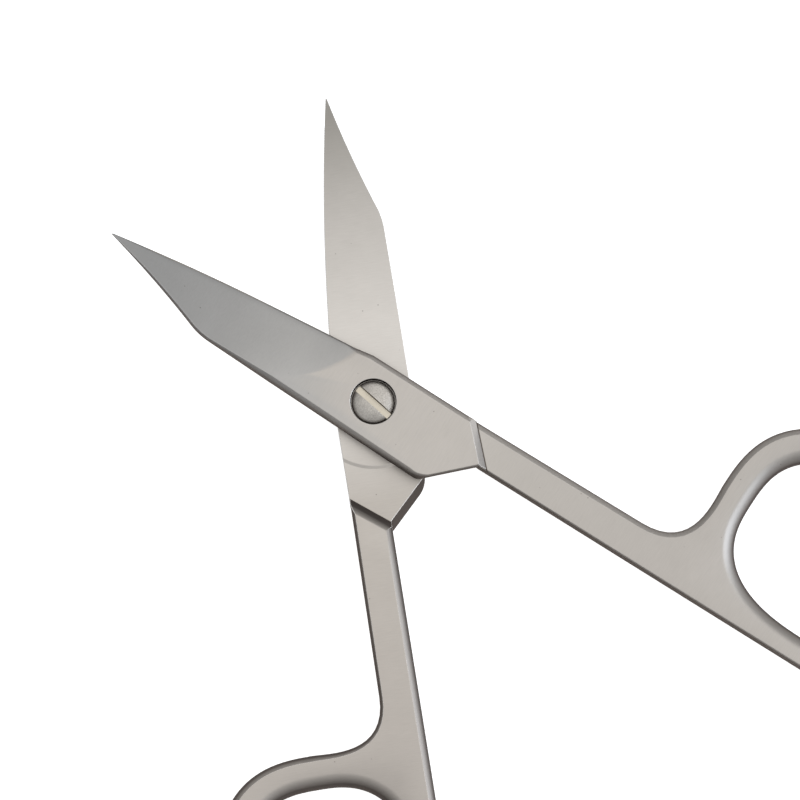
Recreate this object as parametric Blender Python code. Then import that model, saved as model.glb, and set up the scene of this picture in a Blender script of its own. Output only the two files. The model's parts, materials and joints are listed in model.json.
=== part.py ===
"""Straight nail scissors with tower points, lying open: two halves and a slotted pivot screw.

Metres, +Z up. A half is drawn in its own plane: X runs from the pivot towards the finger ring,
Y towards the cutting edge and Z from the inner (riding) face out to the outer face.
The rear half is the same forging turned over about its own length.
"""

import math

import bmesh
import bpy
from mathutils import Matrix, Vector

# Whole pair
CLOSED_LENGTH = 0.0900
OPENING_DEG = 48.0

# Joint
JOINT_HALF_WIDTH = 0.00370
JOINT_SPINE_SIDE = 0.00380
HALF_THICKNESS = 0.0020
RIDE_GAP = 0.00008
PAD_RADIUS = 0.00587
PAD_HEIGHT = 0.00009
SIDE_BEVEL_WIDTH = 0.00048
SIDE_BEVEL_HEIGHT = 0.00045

# Blade outline
BLADE_LENGTH = 0.02962
EDGE_MIDDLE_REACH = 0.01445
EDGE_MIDDLE_RISE = 0.00240
EDGE_HEEL_REACH = 0.00445
EDGE_HEEL_RISE = 0.00333
RICASSO_REACH = 0.00240
CLIP_REACH = 0.0173
CLIP_DEPTH = 0.00357
CLIP_HOLLOW = 0.00017
CLIP_ROUND_LENGTH = 0.0010
TIP_HALF_WIDTH = 0.00006

# Blade grind
GRIND_AT_SPINE = 0.0093
GRIND_AT_EDGE = 0.0039
GRIND_BOW = 0.0011
THIN_EDGE_REACH = 0.0150
BEVEL_FADE_RUN = 0.0010
CLIP_THICKNESS = 0.00150
TIP_THICKNESS = 0.00030
EDGE_THICKNESS = 0.00020
CUTTING_BEVEL_WIDTH = 0.00018
EDGE_BEVEL_SHARE = 0.8
TIP_BEVEL_WIDTH = 0.00002
TIP_BEVEL_RUN = 0.0050
CLIP_BEVEL_WIDTH = 0.00018

# Shoulder, which is where the joint ends
INNER_STEP_REACH = 0.01135
INNER_STEP_LEAN = 0.78
INNER_STEP_WIDTH = 0.00130
SHOULDER_BEFORE_STEP = 0.00017
FRONT_SHOULDER_FLARE = 0.00006
REAR_SHOULDER_FLARE = 0.00065
SHOULDER_ROUND_LENGTH = 0.0011
SHOULDER_INNER_ROUND_LENGTH = 0.00035
SHOULDER_BEVEL_WIDTH = 0.00012
SHOULDER_BEVEL_HEIGHT = 0.00012
OUTER_STEP_PAST_INNER = 0.00162
OUTER_STEP_WIDTH = 0.00062
STEP_OVERLAP = 0.00005
HANDLE_LAP = 0.0003
SIDE_PROUD = 0.00002

# Shank
SHANK_THICKNESS = 0.0028
SHANK_INNER_ROOT = 0.00017
SHANK_OUTER_ROOT = 0.00366
SHANK_OUTER_END = 0.00404
FRONT_HANDLE_SET_DEG = 0.68
REAR_HANDLE_SET_DEG = -0.76

# Edge roundings of shank and ring: width across the face, then depth down the side
BACK_OUTER_ROUND = (0.00055, 0.00050)
BACK_INNER_ROUND = (0.00030, 0.00040)
MEETING_OUTER_ROUND = (0.00020, 0.00025)
MEETING_INNER_ROUND = (0.00070, 0.00060)
HOLE_ROUND = (0.00125, 0.00105)
RING_END_ROUND = (0.00060, 0.00060)

# Finger ring
RING_LENGTH = 0.02833
RING_WIDTH = 0.0217
RING_CLEAR_OF_MIDDLE = 0.00045
RING_WALL_AT_SHANK = 0.0032
RING_WALL_AT_END = 0.0026
RING_WALL_AT_BACK = 0.00308
RING_WALL_AT_MIDDLE = 0.00252
RING_SQUARENESS = 2.63
HOLE_UPPER_SQUARENESS = 2.85
HOLE_LOWER_SQUARENESS = 2.65
CROTCH_RUN = 0.00455
CROTCH_FROM_DEG = 180
CROTCH_RING_PULL = 0.00175
CROTCH_SHANK_PULL = 0.0057

# Pivot screw
HEAD_DIAMETER = 0.00406
HEAD_CLEARANCE = 0.00016
HEAD_SEAT_DEPTH = 0.00115
HEAD_DOME = 0.00046
HEAD_BELOW_FACE = 0.00004
SEAT_GAP = 0.00004
PIN_DIAMETER = 0.00260
PIN_CLEARANCE = 0.00004
THREAD_DIAMETER = 0.00220
THREAD_CLEARANCE = 0.00004
SCREW_END_RECESS = 0.00005
SCREW_END_CHAMFER = 0.00015
AXIS_WELD = 0.00001
SLOT_WIDTH = 0.00068
SLOT_DEPTH = 0.00078
SLOT_TURN_DEG = -74.5

# Counts of points
CLIP_POINTS = 5
CLIP_ROUND_POINTS = 4
SPINE_POINTS = 6
GRIND_COLUMNS = 4
SHOULDER_POINTS = 5
BEVEL_STEPS = 3
STEP_POINTS = 4
SHANK_POINTS = 5
RING_STEP_DEG = 6
CROTCH_POINTS = 9
ROUND_STEPS = 3
HOLE_SIDES = 72
DOME_STEPS = 6

CREASE_DEG = 28
BEVEL_ROUNDNESS_SHARE = 0.35
HOLE_ROUNDNESS_SHARE = 0.6
CUT_OVERRUN = 0.0010

SHOULDER_REACH = INNER_STEP_REACH - SHOULDER_BEFORE_STEP
OUTER_STEP_REACH = INNER_STEP_REACH + OUTER_STEP_PAST_INNER
MIDDLE_Z = HALF_THICKNESS + RIDE_GAP / 2
RING_END = CLOSED_LENGTH - BLADE_LENGTH
SHANK_OUTER_END_REACH = RING_END - RING_LENGTH - CROTCH_RUN
SHANK_TOP = SHANK_THICKNESS / 2 - RIDE_GAP / 2
SHANK_BOTTOM = -SHANK_THICKNESS / 2 - RIDE_GAP / 2


def clear_scene():
    for old in list(bpy.data.objects):
        bpy.data.objects.remove(old, do_unlink=True)


def metal(name, colour, roughness):
    """A bare metal with one colour."""
    material = bpy.data.materials.new(name)
    material.use_nodes = True
    shader = material.node_tree.nodes["Principled BSDF"]
    shader.inputs["Base Color"].default_value = (*colour, 1.0)
    shader.inputs["Metallic"].default_value = 1.0
    shader.inputs["Roughness"].default_value = roughness
    return material


def mix(low, high, share):
    return low + (high - low) * share


def shares(count):
    """Even shares of the way from just after a start to its end."""
    return [(i + 1) / count for i in range(count)]


def late_shares(count):
    """Shares of the way from just after a start to its end, closer together towards the end."""
    return [1 - (1 - share) ** 2 for share in shares(count)]


def arc_through(start, middle, end):
    """A function of X: the height of the circle that runs through three points of one side."""
    ax, ay = start
    bx, by = middle
    cx, cy = end
    d = 2 * (ax * (by - cy) + bx * (cy - ay) + cx * (ay - by))
    ux = ((ax**2 + ay**2) * (by - cy) + (bx**2 + by**2) * (cy - ay) + (cx**2 + cy**2) * (ay - by)) / d
    uy = ((ax**2 + ay**2) * (cx - bx) + (bx**2 + by**2) * (ax - cx) + (cx**2 + cy**2) * (bx - ax)) / d
    radius = math.hypot(ax - ux, ay - uy)
    side = math.copysign(1, by - uy)
    return lambda x: uy + side * math.sqrt(radius**2 - (x - ux) ** 2)


def bend(before, corner, after, count):
    """Points that round a corner, as a quadratic curve between two points on its sides."""
    before, corner, after = Vector(before), Vector(corner), Vector(after)
    found = []
    for i in range(count):
        t = i / (count - 1)
        found.append(tuple(before * (1 - t) ** 2 + corner * (2 * t * (1 - t)) + after * t**2))
    return found


def bevel_profile(steps, roundness):
    """(inset share, drop share) at each step up a bevel, between a flat chamfer and a rounding."""
    found = []
    for step in range(steps + 1):
        share = step / steps
        turn = math.pi / 2 * share
        across = mix(share, 1 - math.cos(turn), roundness)
        drop = mix(1 - share, 1 - math.sin(turn), roundness)
        found.append((across, drop))
    return found


def inset(points, widths):
    """The closed outline moved inwards by a width at each point. It runs counter-clockwise."""
    moved = []
    for i, here in enumerate(points):
        before = points[i - 1]
        after = points[(i + 1) % len(points)]
        first = Vector((here[0] - before[0], here[1] - before[1])).normalized()
        second = Vector((after[0] - here[0], after[1] - here[1])).normalized()
        normals = Vector((-first.y, first.x)), Vector((-second.y, second.x))
        way = (normals[0] + normals[1]) / (1 + normals[0].dot(normals[1]))
        moved.append((here[0] + way.x * widths[i], here[1] + way.y * widths[i]))
    return moved


def superellipse(centre, size, degrees, squareness):
    """A point of a rounded oval, counter-clockwise from its +X end."""
    angle = math.radians(degrees)
    c, s = math.cos(angle), math.sin(angle)
    x = math.copysign(abs(c) ** (2 / squareness), c) * size[0] / 2
    y = math.copysign(abs(s) ** (2 / squareness), s) * size[1] / 2
    return centre[0] + x, centre[1] + y


def new_object(name, bm, hidden=False):
    bmesh.ops.recalc_face_normals(bm, faces=bm.faces[:])
    mesh = bpy.data.meshes.new(name)
    bm.to_mesh(mesh)
    bm.free()
    made = bpy.data.objects.new(name, mesh)
    bpy.context.scene.collection.objects.link(made)
    if hidden:
        made.hide_render = True
        made.display_type = "WIRE"
    return made


def boolean(target, other, operation):
    modifier = target.modifiers.new(operation.lower(), "BOOLEAN")
    modifier.operation = operation
    modifier.solver = "EXACT"
    modifier.object = other


def loops_mesh(rings):
    """A bmesh with one closed ring of vertices for each level, joined by sides."""
    bm = bmesh.new()
    made = [[bm.verts.new(point) for point in ring] for ring in rings]
    for low, high in zip(made, made[1:]):
        for i in range(len(low)):
            j = (i + 1) % len(low)
            bm.faces.new((low[i], low[j], high[j], high[i]))
    return bm, made


def spine_side(x):
    """The straight back of the blade, between the clip and the pivot."""
    return mix(-CLIP_DEPTH, -JOINT_SPINE_SIDE, (x + CLIP_REACH) / CLIP_REACH)


def spine_stations():
    """The back of the blade from the tip to the grind line, as (x, y, thickness, bevel width)."""
    tip = (-BLADE_LENGTH, -TIP_HALF_WIDTH)
    corner = (-CLIP_REACH, -CLIP_DEPTH)
    clip_share = CLIP_ROUND_LENGTH / (BLADE_LENGTH - CLIP_REACH)
    before = (mix(corner[0], tip[0], clip_share), mix(corner[1], tip[1], clip_share))
    after = (corner[0] + CLIP_ROUND_LENGTH, spine_side(corner[0] + CLIP_ROUND_LENGTH))
    stations = [(*tip, TIP_THICKNESS, TIP_BEVEL_WIDTH)]
    for share in shares(CLIP_POINTS)[:-1]:
        x = mix(tip[0], before[0], share)
        y = mix(tip[1], before[1], share) + 4 * CLIP_HOLLOW * share * (1 - share)
        grown = min(1, (x + BLADE_LENGTH) / TIP_BEVEL_RUN)
        width = mix(TIP_BEVEL_WIDTH, CLIP_BEVEL_WIDTH, grown)
        stations.append((x, y, mix(TIP_THICKNESS, CLIP_THICKNESS, share), width))
    for x, y in bend(before, corner, after, CLIP_ROUND_POINTS):
        stations.append((x, y, CLIP_THICKNESS, CLIP_BEVEL_WIDTH))
    for share in late_shares(SPINE_POINTS):
        x = mix(after[0], -GRIND_AT_SPINE, share)
        thickness = mix(CLIP_THICKNESS, HALF_THICKNESS, share)
        stations.append((x, spine_side(x), thickness, mix(CLIP_BEVEL_WIDTH, SIDE_BEVEL_WIDTH, share)))
    return stations


def edge_stations():
    """The cutting edge from the tip to the grind line, station for station with the back."""
    tip = (-BLADE_LENGTH, TIP_HALF_WIDTH)
    heel = (-EDGE_HEEL_REACH, EDGE_HEEL_RISE)
    ricasso = (-RICASSO_REACH, JOINT_HALF_WIDTH)
    arc = arc_through(tip, (-EDGE_MIDDLE_REACH, EDGE_MIDDLE_RISE), heel)

    def height(x):
        if x <= heel[0]:
            return arc(x)
        return mix(heel[1], ricasso[1], (x - heel[0]) / (ricasso[0] - heel[0]))

    stations = [(*tip, TIP_THICKNESS, TIP_BEVEL_WIDTH)]
    for share in shares(CLIP_POINTS - 1 + CLIP_ROUND_POINTS):
        x = mix(-BLADE_LENGTH, -THIN_EDGE_REACH, share)
        grown = min(1, (x + BLADE_LENGTH) / TIP_BEVEL_RUN)
        width = mix(TIP_BEVEL_WIDTH, CUTTING_BEVEL_WIDTH, grown)
        stations.append((x, height(x), mix(TIP_THICKNESS, EDGE_THICKNESS, grown), width))
    for share in late_shares(SPINE_POINTS):
        x = mix(-THIN_EDGE_REACH, -GRIND_AT_EDGE, share)
        faded = min(1, (-GRIND_AT_EDGE - x) / BEVEL_FADE_RUN)
        thickness = mix(EDGE_THICKNESS, HALF_THICKNESS, share**2)
        stations.append((x, height(x), thickness, mix(SIDE_BEVEL_WIDTH, CUTTING_BEVEL_WIDTH, faded)))
    return stations


def meeting_side(x, handle_set):
    """How far the shank's other side, which meets the other half, lies from the middle line at x."""
    run = RING_END - RING_LENGTH / 2 - INNER_STEP_REACH
    straight = mix(SHANK_INNER_ROOT, RING_CLEAR_OF_MIDDLE, (x - INNER_STEP_REACH) / run)
    return straight + x * math.tan(math.radians(handle_set))


def joint_outline(flare, handle_set):
    """The outline of blade and joint, counter-clockwise from the tip's back.

    Each point is (x, y, top, bevel width, bevel height, (x, y) at the inner face).
    """
    bevel_share = SIDE_BEVEL_HEIGHT / SIDE_BEVEL_WIDTH
    back = []
    for x, y, top, width in spine_stations():
        back.append((x, y, top, width, min(width * bevel_share, top / 2), (x, y)))
    edge = []
    for x, y, top, width in edge_stations():
        edge.append((x, y, top, width, min(width * bevel_share, top * EDGE_BEVEL_SHARE), (x, y)))
    reach = SHOULDER_REACH + flare * math.sqrt(2)
    outer_bend = shoulder_bend(reach, SHOULDER_ROUND_LENGTH)
    inner_bend = shoulder_bend(SHOULDER_REACH, SHOULDER_INNER_ROUND_LENGTH)
    shoulder = []
    for share, (x, y), inner in zip(shares(SHOULDER_POINTS), outer_bend, inner_bend):
        width = mix(SIDE_BEVEL_WIDTH, SHOULDER_BEVEL_WIDTH, share)
        height = mix(SIDE_BEVEL_HEIGHT, SHOULDER_BEVEL_HEIGHT, share)
        shoulder.append((x, y, HALF_THICKNESS, width, height, inner))
    root_y = meeting_side(reach, handle_set) + MEETING_OUTER_ROUND[0] / 2
    foot_y = meeting_side(OUTER_STEP_REACH, handle_set) + MEETING_OUTER_ROUND[0]
    slope = back_slope() + math.tan(math.radians(handle_set))
    end_x = (OUTER_STEP_REACH - back_side(0, handle_set) - SIDE_PROUD) / (1 + slope)
    near_x = end_x - 2 * OUTER_STEP_WIDTH
    ending = [
        (reach + root_y, root_y),
        (OUTER_STEP_REACH - foot_y, foot_y),
        (end_x, OUTER_STEP_REACH - end_x),
        (near_x, back_side(near_x, handle_set) + SIDE_PROUD),
        (-RICASSO_REACH, JOINT_HALF_WIDTH),
    ]
    thin = (HALF_THICKNESS, SHOULDER_BEVEL_WIDTH, SHOULDER_BEVEL_HEIGHT)
    broad = (HALF_THICKNESS, SIDE_BEVEL_WIDTH, SIDE_BEVEL_HEIGHT)
    ending = [(*place, *form, place) for place, form in zip(ending, (thin, thin, broad, broad, broad))]
    ending[0] = (*ending[0][:5], (SHOULDER_REACH + root_y, root_y))
    return back + shoulder + ending + edge[::-1], len(back)


def shoulder_bend(reach, round_length):
    """The rounded corner between the back of the joint and a shoulder line at its reach."""
    corner = (reach - JOINT_SPINE_SIDE, -JOINT_SPINE_SIDE)
    before = (corner[0] - round_length, corner[1])
    step = round_length / math.sqrt(2)
    return bend(before, corner, (corner[0] + step, corner[1] + step), SHOULDER_POINTS)


def blade_and_joint(name, flare, handle_set):
    """Blade and joint as one solid, without its holes."""
    outline, stations = joint_outline(flare, handle_set)
    plan = [point[:2] for point in outline]
    rings = [[(*point[5], 0.0) for point in outline]]
    for across, drop in bevel_profile(BEVEL_STEPS, BEVEL_ROUNDNESS_SHARE):
        moved = inset(plan, [point[3] * across for point in outline])
        heights = [point[2] - point[4] * drop for point in outline]
        rings.append([(x, y, z) for (x, y), z in zip(moved, heights)])
    bm, made = loops_mesh(rings)
    bm.faces.new(made[0])
    top = made[-1]
    rows = []
    for i in range(1, stations):
        back, edge = top[i], top[-1 - i]
        run = max(0, i + 1 + SPINE_POINTS - stations) / SPINE_POINTS
        row = [back]
        for share in shares(GRIND_COLUMNS + 1)[:-1]:
            place = back.co.lerp(edge.co, share)
            place.x += GRIND_BOW * run * (1 - (2 * share - 1) ** 2)
            row.append(bm.verts.new(place))
        rows.append(row + [edge])
    bm.faces.new([top[0], *rows[0], top[-1]])
    for near, far in zip(rows, rows[1:]):
        for i in range(len(near) - 1):
            bm.faces.new((near[i], far[i], far[i + 1], near[i + 1]))
    bm.faces.new(top[stations - 1 : len(top) - stations + 1] + rows[-1][-2:0:-1])
    return new_object(name, bm)


def back_slope():
    """Slope of the shank's back, the side away from the other half, before its set."""
    return (SHANK_OUTER_END - SHANK_OUTER_ROOT) / (SHANK_OUTER_END_REACH - PAD_RADIUS)


def back_side(x, handle_set):
    """How far the shank's back lies from the middle line at x."""
    straight = SHANK_OUTER_ROOT + back_slope() * (x - PAD_RADIUS)
    return straight + x * math.tan(math.radians(handle_set))


def turned(point, degrees):
    """A point of the plane turned about the pivot."""
    angle = math.radians(degrees)
    c, s = math.cos(angle), math.sin(angle)
    return point[0] * c - point[1] * s, point[0] * s + point[1] * c


def bezier(start, first, second, end, count):
    """Points of a cubic curve, without its start."""
    found = []
    for i in range(1, count + 1):
        t = i / count
        u = 1 - t
        weights = (u**3, 3 * u**2 * t, 3 * u * t**2, t**3)
        x = sum(w * p[0] for w, p in zip(weights, (start, first, second, end)))
        y = sum(w * p[1] for w, p in zip(weights, (start, first, second, end)))
        found.append((x, y))
    return found


def handle_outline():
    """Outer outline of shank and ring, counter-clockwise from inside the joint, with its edge roundings.

    Each point is (x, y, outer rounding, inner rounding).
    """
    centre = (RING_END - RING_LENGTH / 2, RING_CLEAR_OF_MIDDLE + RING_WIDTH / 2)
    size = (RING_LENGTH, RING_WIDTH)
    start_reach = INNER_STEP_REACH - HANDLE_LAP
    root = (start_reach - SHANK_INNER_ROOT * INNER_STEP_LEAN, SHANK_INNER_ROOT)
    found = [(*root, MEETING_OUTER_ROUND, MEETING_INNER_ROUND)]
    for share in shares(SHANK_POINTS)[:-1]:
        x = mix(root[0], centre[0], share)
        y = mix(SHANK_INNER_ROOT, RING_CLEAR_OF_MIDDLE, share)
        found.append((x, y, MEETING_OUTER_ROUND, MEETING_INNER_ROUND))
    for degrees in range(-90, CROTCH_FROM_DEG + 1, RING_STEP_DEG):
        x, y = superellipse(centre, size, degrees, RING_SQUARENESS)
        blend = min(1, (degrees + 90) / 90)
        outer = tuple(mix(a, b, blend) for a, b in zip(MEETING_OUTER_ROUND, RING_END_ROUND))
        inner = tuple(mix(a, b, blend) for a, b in zip(MEETING_INNER_ROUND, RING_END_ROUND))
        found.append((x, y, outer, inner))
    start = found[-1][:2]
    near = superellipse(centre, size, CROTCH_FROM_DEG - 1, RING_SQUARENESS)
    along = Vector((start[0] - near[0], start[1] - near[1])).normalized() * CROTCH_RING_PULL
    end = (SHANK_OUTER_END_REACH, SHANK_OUTER_END)
    back = Vector((1, back_slope())).normalized() * CROTCH_SHANK_PULL
    first = (start[0] + along.x, start[1] + along.y)
    second = (end[0] + back.x, end[1] + back.y)
    for share, (x, y) in zip(shares(CROTCH_POINTS), bezier(start, first, second, end, CROTCH_POINTS)):
        outer = tuple(mix(a, b, share) for a, b in zip(RING_END_ROUND, BACK_OUTER_ROUND))
        inner = tuple(mix(a, b, share) for a, b in zip(RING_END_ROUND, BACK_INNER_ROUND))
        found.append((x, y, outer, inner))
    last_x = start_reach - SHANK_OUTER_ROOT * INNER_STEP_LEAN
    for share in shares(SHANK_POINTS):
        x = mix(end[0], last_x, share)
        found.append((x, back_side(x, 0), BACK_OUTER_ROUND, BACK_INNER_ROUND))
    return found


def hole_outline():
    """The finger hole, clockwise, so that an inset widens it."""
    length = RING_LENGTH - RING_WALL_AT_SHANK - RING_WALL_AT_END
    width = RING_WIDTH - RING_WALL_AT_BACK - RING_WALL_AT_MIDDLE
    centre = (
        RING_END - RING_WALL_AT_END - length / 2,
        RING_CLEAR_OF_MIDDLE + RING_WALL_AT_MIDDLE + width / 2,
    )
    found = []
    for degrees in range(0, -360, -RING_STEP_DEG):
        upper = degrees <= -180 or degrees == 0
        squareness = HOLE_UPPER_SQUARENESS if upper else HOLE_LOWER_SQUARENESS
        x, y = superellipse(centre, (length, width), degrees, squareness)
        found.append((x, y, HOLE_ROUND, HOLE_ROUND))
    return found


def rounded_rings(outline, roundness):
    """Levels of a side wall, from its inner face to its outer face, with both edges taken off."""
    plan = [point[:2] for point in outline]
    profile = bevel_profile(ROUND_STEPS, roundness)
    rings = []
    for across, drop in reversed(profile):
        moved = inset(plan, [point[3][0] * across for point in outline])
        heights = [SHANK_BOTTOM + point[3][1] * drop for point in outline]
        rings.append([(x, y, z) for (x, y), z in zip(moved, heights)])
    for across, drop in profile:
        moved = inset(plan, [point[2][0] * across for point in outline])
        heights = [SHANK_TOP - point[2][1] * drop for point in outline]
        rings.append([(x, y, z) for (x, y), z in zip(moved, heights)])
    return rings


def shank_and_ring(name, handle_set):
    """Shank and finger ring as one solid, with the edges taken off."""
    bm = bmesh.new()
    caps = [], []
    walls = [(handle_outline(), BEVEL_ROUNDNESS_SHARE), (hole_outline(), HOLE_ROUNDNESS_SHARE)]
    for outline, roundness in walls:
        rows = []
        for ring in rounded_rings(outline, roundness):
            rows.append([bm.verts.new((*turned(point, handle_set), point[2])) for point in ring])
        for low, high in zip(rows, rows[1:]):
            for i in range(len(low)):
                j = (i + 1) % len(low)
                bm.faces.new((low[i], low[j], high[j], high[i]))
        for cap, row in zip(caps, (rows[0], rows[-1])):
            for i, vertex in enumerate(row):
                cap.append(bm.edges.get((vertex, row[(i + 1) % len(row)])))
    for cap in caps:
        bmesh.ops.triangle_fill(bm, use_beauty=True, use_dissolve=False, edges=cap)
    return new_object(name, bm, hidden=True)


def cylinder(name, radius, low, high, hidden=True):
    """An upright cylinder about the pivot."""
    bm = bmesh.new()
    bmesh.ops.create_cone(
        bm, cap_ends=True, segments=HOLE_SIDES, radius1=radius, radius2=radius, depth=high - low
    )
    bmesh.ops.translate(bm, verts=bm.verts[:], vec=(0, 0, (low + high) / 2))
    return new_object(name, bm, hidden)


def step_cutter(name, reach, lean, profile):
    """A bar across a half, over the line x + lean * y = reach.

    Each point of its profile is (distance past the line, z).
    """
    length = math.hypot(1, lean)
    past_way = Vector((1, lean)) / length
    along_way = Vector((-lean, 1)) / length
    rings = []
    for along in (-OUTER_STEP_REACH, 0):
        places = [past_way * (reach / length + past) + along_way * along for past, z in profile]
        rings.append([(place.x, place.y, z) for place, (past, z) in zip(places, profile)])
    bm, made = loops_mesh(rings)
    bm.faces.new(made[0])
    bm.faces.new(made[1])
    return new_object(name, bm, hidden=True)


def outer_step(name):
    """The cut that slopes the joint's outer face down to the shank's."""
    drop = HALF_THICKNESS - SHANK_TOP + STEP_OVERLAP
    rise = CUT_OVERRUN * drop / OUTER_STEP_WIDTH
    low = (CUT_OVERRUN, SHANK_TOP - STEP_OVERLAP - rise)
    high = (-OUTER_STEP_WIDTH - CUT_OVERRUN, HALF_THICKNESS + rise)
    return step_cutter(name, OUTER_STEP_REACH, 1, [low, (CUT_OVERRUN, HALF_THICKNESS + rise), high])


def inner_step(name):
    """The cut that starts the shank's inner side at the joint, with a wall that rounds over."""
    depth = STEP_OVERLAP - SHANK_BOTTOM
    behind = -HANDLE_LAP - CUT_OVERRUN
    profile = [(behind, STEP_OVERLAP), (0, STEP_OVERLAP)]
    for across, drop in bevel_profile(STEP_POINTS, HOLE_ROUNDNESS_SHARE):
        profile.append((INNER_STEP_WIDTH * across, -depth * (1 - drop)))
    profile += [(INNER_STEP_WIDTH, -depth - CUT_OVERRUN), (behind, -depth - CUT_OVERRUN)]
    return step_cutter(name, INNER_STEP_REACH, INNER_STEP_LEAN, profile)


def pad_relief(name):
    """The shallow cut that leaves the riding pad proud of the inner face, between pivot and shank."""
    wide = JOINT_SPINE_SIDE + CUT_OVERRUN
    far = INNER_STEP_REACH + SIDE_PROUD
    plan = [(0, -wide), (far, -wide), (far, 0), (far - wide * INNER_STEP_LEAN, wide), (0, wide)]
    bm, made = loops_mesh([[(x, y, z) for x, y in plan] for z in (-SHANK_THICKNESS, PAD_HEIGHT)])
    bm.faces.new(made[0])
    bm.faces.new(made[1])
    slab = new_object(name, bm, hidden=True)
    core = cylinder(name + "_core", PAD_RADIUS, -SHANK_THICKNESS - CUT_OVERRUN, CUT_OVERRUN)
    boolean(slab, core, "DIFFERENCE")
    return slab


def finish(made, material):
    """Give a solid its metal, and smooth shading between its creases."""
    made.data.materials.append(material)
    made.data.shade_smooth()
    made.data.set_sharp_from_angle(angle=math.radians(CREASE_DEG))


def half_of_pair(name, flare, handle_set, material):
    """One half: blade, joint, shank and ring in one forging."""
    half = blade_and_joint(name, flare, handle_set)
    boolean(half, outer_step(name + "_outer_step"), "DIFFERENCE")
    handle = shank_and_ring(name + "_handle", handle_set)
    boolean(handle, inner_step(name + "_inner_step"), "DIFFERENCE")
    boolean(half, handle, "UNION")
    boolean(half, pad_relief(name + "_relief"), "DIFFERENCE")
    finish(half, material)
    return half


def turned_solid(name, profile):
    """A solid of revolution about Z, from (radius, z) pairs that start and end on the axis."""
    bm = bmesh.new()
    vertices = [bm.verts.new((radius, 0, z)) for radius, z in profile]
    edges = [bm.edges.new(pair) for pair in zip(vertices, vertices[1:])]
    bmesh.ops.spin(
        bm, geom=vertices + edges, axis=(0, 0, 1), cent=(0, 0, 0), angle=2 * math.pi,
        steps=HOLE_SIDES, use_merge=True,
    )
    bmesh.ops.remove_doubles(bm, verts=bm.verts[:], dist=AXIS_WELD)
    return new_object(name, bm)


def pivot_screw(material):
    """Slotted screw: domed head in the front half, plain pin, and a threaded end in the rear half."""
    face = MIDDLE_Z + RIDE_GAP / 2 + HALF_THICKNESS
    seat = face - HEAD_SEAT_DEPTH + SEAT_GAP
    crown = face - HEAD_BELOW_FACE
    head = HEAD_DIAMETER / 2
    pin = PIN_DIAMETER / 2
    thread = THREAD_DIAMETER / 2
    profile = [
        (0, SCREW_END_RECESS),
        (thread - SCREW_END_CHAMFER, SCREW_END_RECESS),
        (thread, SCREW_END_RECESS + SCREW_END_CHAMFER),
        (thread, MIDDLE_Z - RIDE_GAP / 2),
        (pin, MIDDLE_Z),
        (pin, seat),
        (head, seat),
    ]
    radius = (head**2 + HEAD_DOME**2) / (2 * HEAD_DOME)
    for share in [0] + shares(DOME_STEPS):
        across = head * (1 - share)
        profile.append((across, crown - radius + math.sqrt(radius**2 - across**2)))
    screw = turned_solid("pivot_screw", profile)
    bm = bmesh.new()
    bmesh.ops.create_cube(bm, size=1)
    long = HEAD_DIAMETER + 2 * CUT_OVERRUN
    bmesh.ops.scale(bm, verts=bm.verts[:], vec=(long, SLOT_WIDTH, SLOT_DEPTH + CUT_OVERRUN))
    floor = crown - SLOT_DEPTH
    bmesh.ops.translate(bm, verts=bm.verts[:], vec=(0, 0, floor + (SLOT_DEPTH + CUT_OVERRUN) / 2))
    slot = new_object("slot_cutter", bm, hidden=True)
    slot.rotation_euler = (0, 0, math.radians(SLOT_TURN_DEG))
    boolean(screw, slot, "DIFFERENCE")
    finish(screw, material)
    return screw


def middle_of_outline(halves):
    """Middle of the box round the halves' outlines, handles included, seen from above."""
    bpy.context.view_layer.update()
    solids = halves + [bpy.data.objects[half.name + "_handle"] for half in halves]
    points = [solid.matrix_world @ vertex.co for solid in solids for vertex in solid.data.vertices]
    across = [point.x for point in points]
    along = [point.y for point in points]
    return (min(across) + max(across)) / 2, (min(along) + max(along)) / 2


def main():
    clear_scene()
    satin = metal("satin_steel", (0.62, 0.60, 0.58), 0.38)
    bright = metal("turned_steel", (0.42, 0.40, 0.38), 0.30)

    front = half_of_pair("front_half", FRONT_SHOULDER_FLARE, FRONT_HANDLE_SET_DEG, satin)
    rear = half_of_pair("rear_half", REAR_SHOULDER_FLARE, REAR_HANDLE_SET_DEG, satin)
    clear = CUT_OVERRUN + HALF_THICKNESS
    boolean(front, cylinder("pin_hole", PIN_DIAMETER / 2 + PIN_CLEARANCE, -clear, clear), "DIFFERENCE")
    seat = HALF_THICKNESS - HEAD_SEAT_DEPTH
    head_hole = cylinder("head_hole", HEAD_DIAMETER / 2 + HEAD_CLEARANCE, seat, clear)
    boolean(front, head_hole, "DIFFERENCE")
    thread_hole = cylinder("thread_hole", THREAD_DIAMETER / 2 + THREAD_CLEARANCE, -clear, clear)
    boolean(rear, thread_hole, "DIFFERENCE")
    screw = pivot_screw(bright)

    pivot = bpy.data.objects.new("pivot", None)
    bpy.context.scene.collection.objects.link(pivot)
    half_opening = OPENING_DEG / 2
    lift = RIDE_GAP / 2
    front.rotation_euler = (0, 0, math.radians(half_opening - 90))
    front.location = (0, 0, MIDDLE_Z + lift)
    rear.rotation_euler = (math.pi, 0, math.radians(-half_opening - 90))
    rear.location = (0, 0, MIDDLE_Z - lift)
    shared_tools = ("handle", "outer_step", "inner_step", "relief", "relief_core")
    for half, holes in ((front, ("pin_hole", "head_hole")), (rear, ("thread_hole",))):
        half.parent = pivot
        for tool in [half.name + "_" + tool for tool in shared_tools] + list(holes):
            bpy.data.objects[tool].parent = half
    screw.parent = pivot
    bpy.data.objects["slot_cutter"].parent = screw

    x, y = middle_of_outline([front, rear])
    pivot.location = (-x, -y, 0)


main()
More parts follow.
